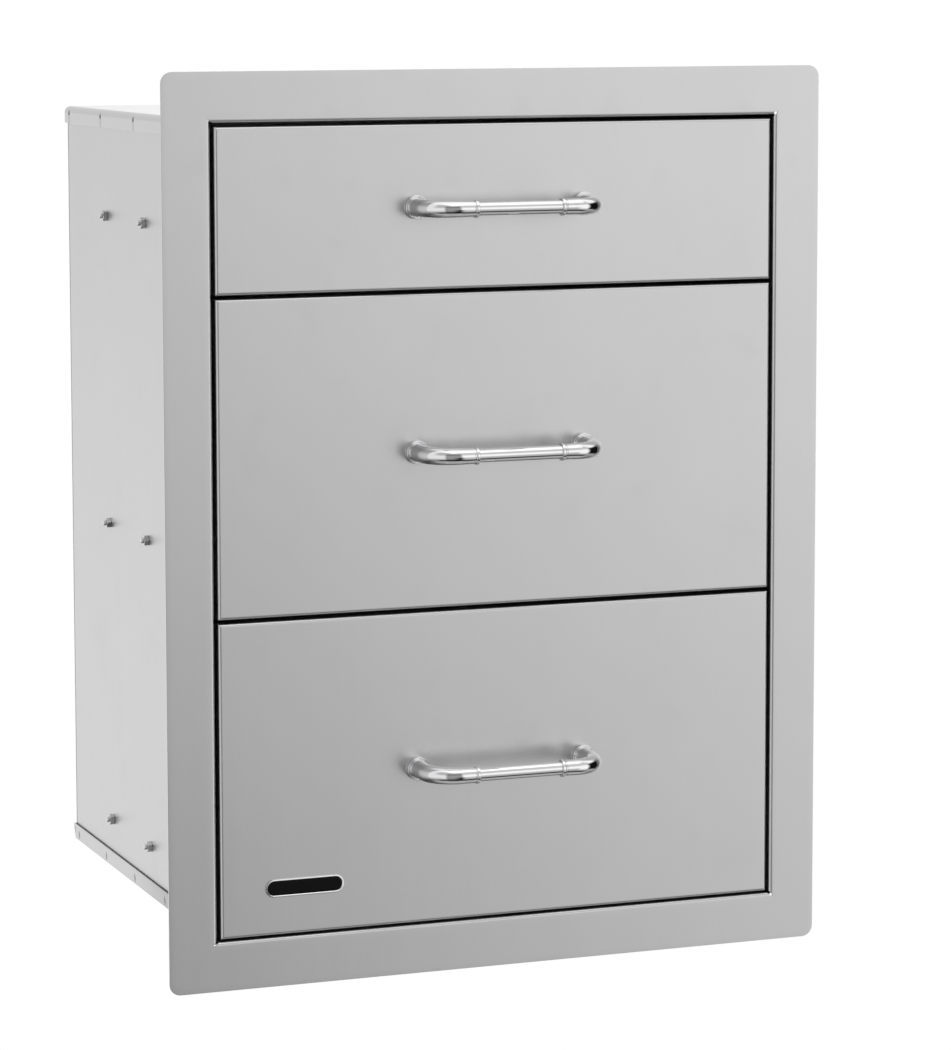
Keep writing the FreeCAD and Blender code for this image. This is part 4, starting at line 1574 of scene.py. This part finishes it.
@dataclass(frozen=True)
class Card:
    """A soft-edged card in the surroundings, as seen from the unit.

    Attributes:
        turn: Compass angles of its two sides in degrees, 0 towards the front and rising to the right.
        rise: Heights of its lower and upper edge above the horizon in degrees.
        soft: Half the width in degrees of its soft sides, and of its soft lower and upper edges.
        level: What it multiplies the light by, below 1 for a dark card.
    """

    turn: Pair
    rise: Pair
    soft: Pair
    level: float

    def shade(self, nodes: Nodes, angles: Pair, light: Socket) -> Socket:
        """The light with the card in front of it.

        The card's share is a smooth step in compass angle times a smooth step in height, and the light is
        multiplied by 1 + share * (level - 1).

        Args:
            nodes: The surroundings' nodes.
            angles: Sockets of a direction's compass angle and its height, in degrees.
            light: The light without the card.

        Returns:
            The light with it.
        """
        steps = []
        for angle, (start, end), soft in zip(angles, (self.turn, self.rise), self.soft):
            gap = nodes.math("WRAP", nodes.math("SUBTRACT", angle, (start + end) / 2), 180.0, -180.0)
            half = (end - start) / 2
            steps.append(nodes.remap(nodes.math("ABSOLUTE", gap), half - soft, half + soft, start=1, end=0))
        share = nodes.math("MULTIPLY_ADD", nodes.math("MULTIPLY", *steps), self.level - 1, 1.0)
        return nodes.math("MULTIPLY", share, light)


@dataclass
class Studio:
    """Camera, surroundings, lamp and floor."""

    location: Triple = (-1.13892, -2.90464, 0.42952)
    rotation: Triple = (83.8241, 0.2068, -20.0122)
    focal: float = 132.005
    sensor: float = 36.0
    shift: Pair = (0.0676, -0.10897)
    far: float = 50.0
    floor_drop: float = 0.55
    floor_reach: float = 14.0
    floor_pale: float = 0.85
    floor_white: Pair = (0.8, 1.5)
    gain: float = 1.08
    table_edge: Triple = (-45.4, -11.6, 0.30)
    table_top: Triple = (-60.0, -48.0, 1.36)
    cards: tuple[Card, ...] = (
        Card((-39.0, 11.3), (-62, 41), (6, 17), 0.31),
        Card((-3.0, 20.8), (-56, -8.2), (18, 6), 0.02),
        Card((-75, 70), (20, 58), (10, 8), 0.59),
        Card((60, 130), (-32, 27), (8, 8), 0.006),
        Card((-120, -35), (-60, 60), (10, 10), 0.80),
        Card((150, 166), (-6, 6), (2.5, 2.5), 1.5),
        Card((145, 220), (-3, 70), (7, 6), 0.76),
        Card((-70, 66), (-57, -41), (10, 3), 0.12),
    )
    lamp_place: Triple = (0.3, -0.9, 2.2)
    lamp_aim: Triple = (0.0, 0.1, 0.0)
    lamp_size: Pair = (2.2, 1.4)
    lamp_power: float = 4.0

    def camera(self) -> None:
        """Sets the camera at the photograph's angle."""
        data = bpy.data.cameras.new("camera")
        data.sensor_fit = "AUTO"
        data.sensor_width = self.sensor
        data.lens = self.focal
        data.shift_x, data.shift_y = self.shift
        data.clip_end = self.far
        view = bpy.data.objects.new("camera", data)
        view.location = self.location
        view.rotation_euler = Euler([math.radians(angle) for angle in self.rotation])
        bpy.context.scene.collection.objects.link(view)
        bpy.context.scene.camera = view

    def world(self) -> None:
        """White surroundings with soft cards that metal reflects, and plain white for the camera.

        The light in a direction is the gain, times a smooth step for the table's edge and another for its
        top, times what each card leaves of it.
        """
        world = bpy.data.worlds.new("studio")
        bpy.context.scene.world = world
        world.use_nodes = True
        nodes = Nodes(world.node_tree)
        place = nodes.add("ShaderNodeTexCoord").outputs["Generated"]
        x, y, z = nodes.add("ShaderNodeSeparateXYZ", {0: place}).outputs
        radians = (nodes.math("ARCTAN2", x, nodes.math("MULTIPLY", y, -1.0)), nodes.math("ARCSINE", z))
        angles = tuple(nodes.math("MULTIPLY", angle, math.degrees(1)) for angle in radians)
        light = self.gain
        for low, high, level in (self.table_edge, self.table_top):
            light = nodes.math("MULTIPLY", nodes.remap(angles[1], low, high, level, 1.0), light)
        for card in self.cards:
            light = card.shade(nodes, angles, light)
        around = nodes.add("ShaderNodeBackground", {"Color": WHITE, "Strength": light})
        white = nodes.add("ShaderNodeBackground", {"Color": WHITE, "Strength": 1.0})
        path = nodes.add("ShaderNodeLightPath").outputs
        seen = nodes.math("MAXIMUM", path["Is Camera Ray"], path["Is Transmission Ray"])
        nodes.add("ShaderNodeOutputWorld", {"Surface": nodes.mixed(seen, around, white).outputs[0]})

    def floor(self) -> None:
        """A plain pale floor below the unit, which fades to white away from it and isn't in reflections."""
        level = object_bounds()[0][2] - self.floor_drop
        edge = np.array([-self.floor_reach, self.floor_reach])
        x, y = np.meshgrid(edge, edge)
        piece = build("floor", [Grid(np.stack((x, y, np.full_like(x, level)), axis=-1))],
                      away_from=(0, 0, level - 1))
        material = bpy.data.materials.new("pale floor")
        material.use_nodes = True
        nodes = Nodes(material.node_tree)
        place = nodes.add("ShaderNodeTexCoord").outputs["Object"]
        flat = nodes.vector("MULTIPLY", {0: place, 1: (1, 1, 0)})
        distance = nodes.vector("LENGTH", {0: flat}, "Value")
        pale = nodes.add("ShaderNodeBsdfDiffuse", {"Color": (self.floor_pale,) * 3 + (1,)})
        white = nodes.add("ShaderNodeEmission", {"Color": WHITE, "Strength": 1.0})
        clear = nodes.add("ShaderNodeBsdfTransparent")
        path = nodes.add("ShaderNodeLightPath").outputs
        fade = nodes.math("MULTIPLY", nodes.remap(distance, *self.floor_white), path["Is Camera Ray"])
        passed = nodes.math("MAXIMUM", path["Is Glossy Ray"], path["Is Transmission Ray"])
        passed = nodes.math("MAXIMUM", passed, path["Is Shadow Ray"])
        mix = nodes.mixed(passed, nodes.mixed(fade, pale, white), clear)
        nodes.add("ShaderNodeOutputMaterial", {"Surface": mix.outputs[0]})
        piece.data.materials.append(material)
        piece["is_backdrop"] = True

    def lamp(self) -> None:
        """Adds a soft rectangular lamp over the unit."""
        data = bpy.data.lights.new("overhead lamp", "AREA")
        data.shape = "RECTANGLE"
        data.size, data.size_y = self.lamp_size
        data.energy = self.lamp_power
        lamp = bpy.data.objects.new("overhead lamp", data)
        lamp.location = self.lamp_place
        towards = Vector(self.lamp_aim) - Vector(self.lamp_place)
        lamp.rotation_euler = towards.to_track_quat("-Z", "Y").to_euler()
        bpy.context.scene.collection.objects.link(lamp)

    def make(self) -> None:
        """Sets up everything that isn't the unit."""
        self.camera()
        self.world()
        self.floor()
        self.lamp()
        bpy.context.scene.view_settings.view_transform = "Standard"
        log.info("studio ready")


def corners(bounds: Sequence[Sequence[float]]) -> list[list[float]]:
    """A box as plain lists of numbers."""
    return [[float(value) for value in corner] for corner in bounds]


def main() -> None:
    """Builds the scene around the packed model, piece by piece."""
    logging.basicConfig(level=logging.INFO, format="%(message)s")
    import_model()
    packed = corners(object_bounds())
    FaceFrame().make()
    CabinetShell().make()
    SlideFasteners().make()
    for drawer in Drawer:
        DrawerFront(drawer).make()
        Handle(drawer).make()
        Slides(drawer).make()
        Tray(drawer).make()
    BadgePlate().make()
    dress("slide_bumpers", RUBBER)
    Studio().make()
    visual = corners(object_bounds())


if __name__ == "__main__":
    main()
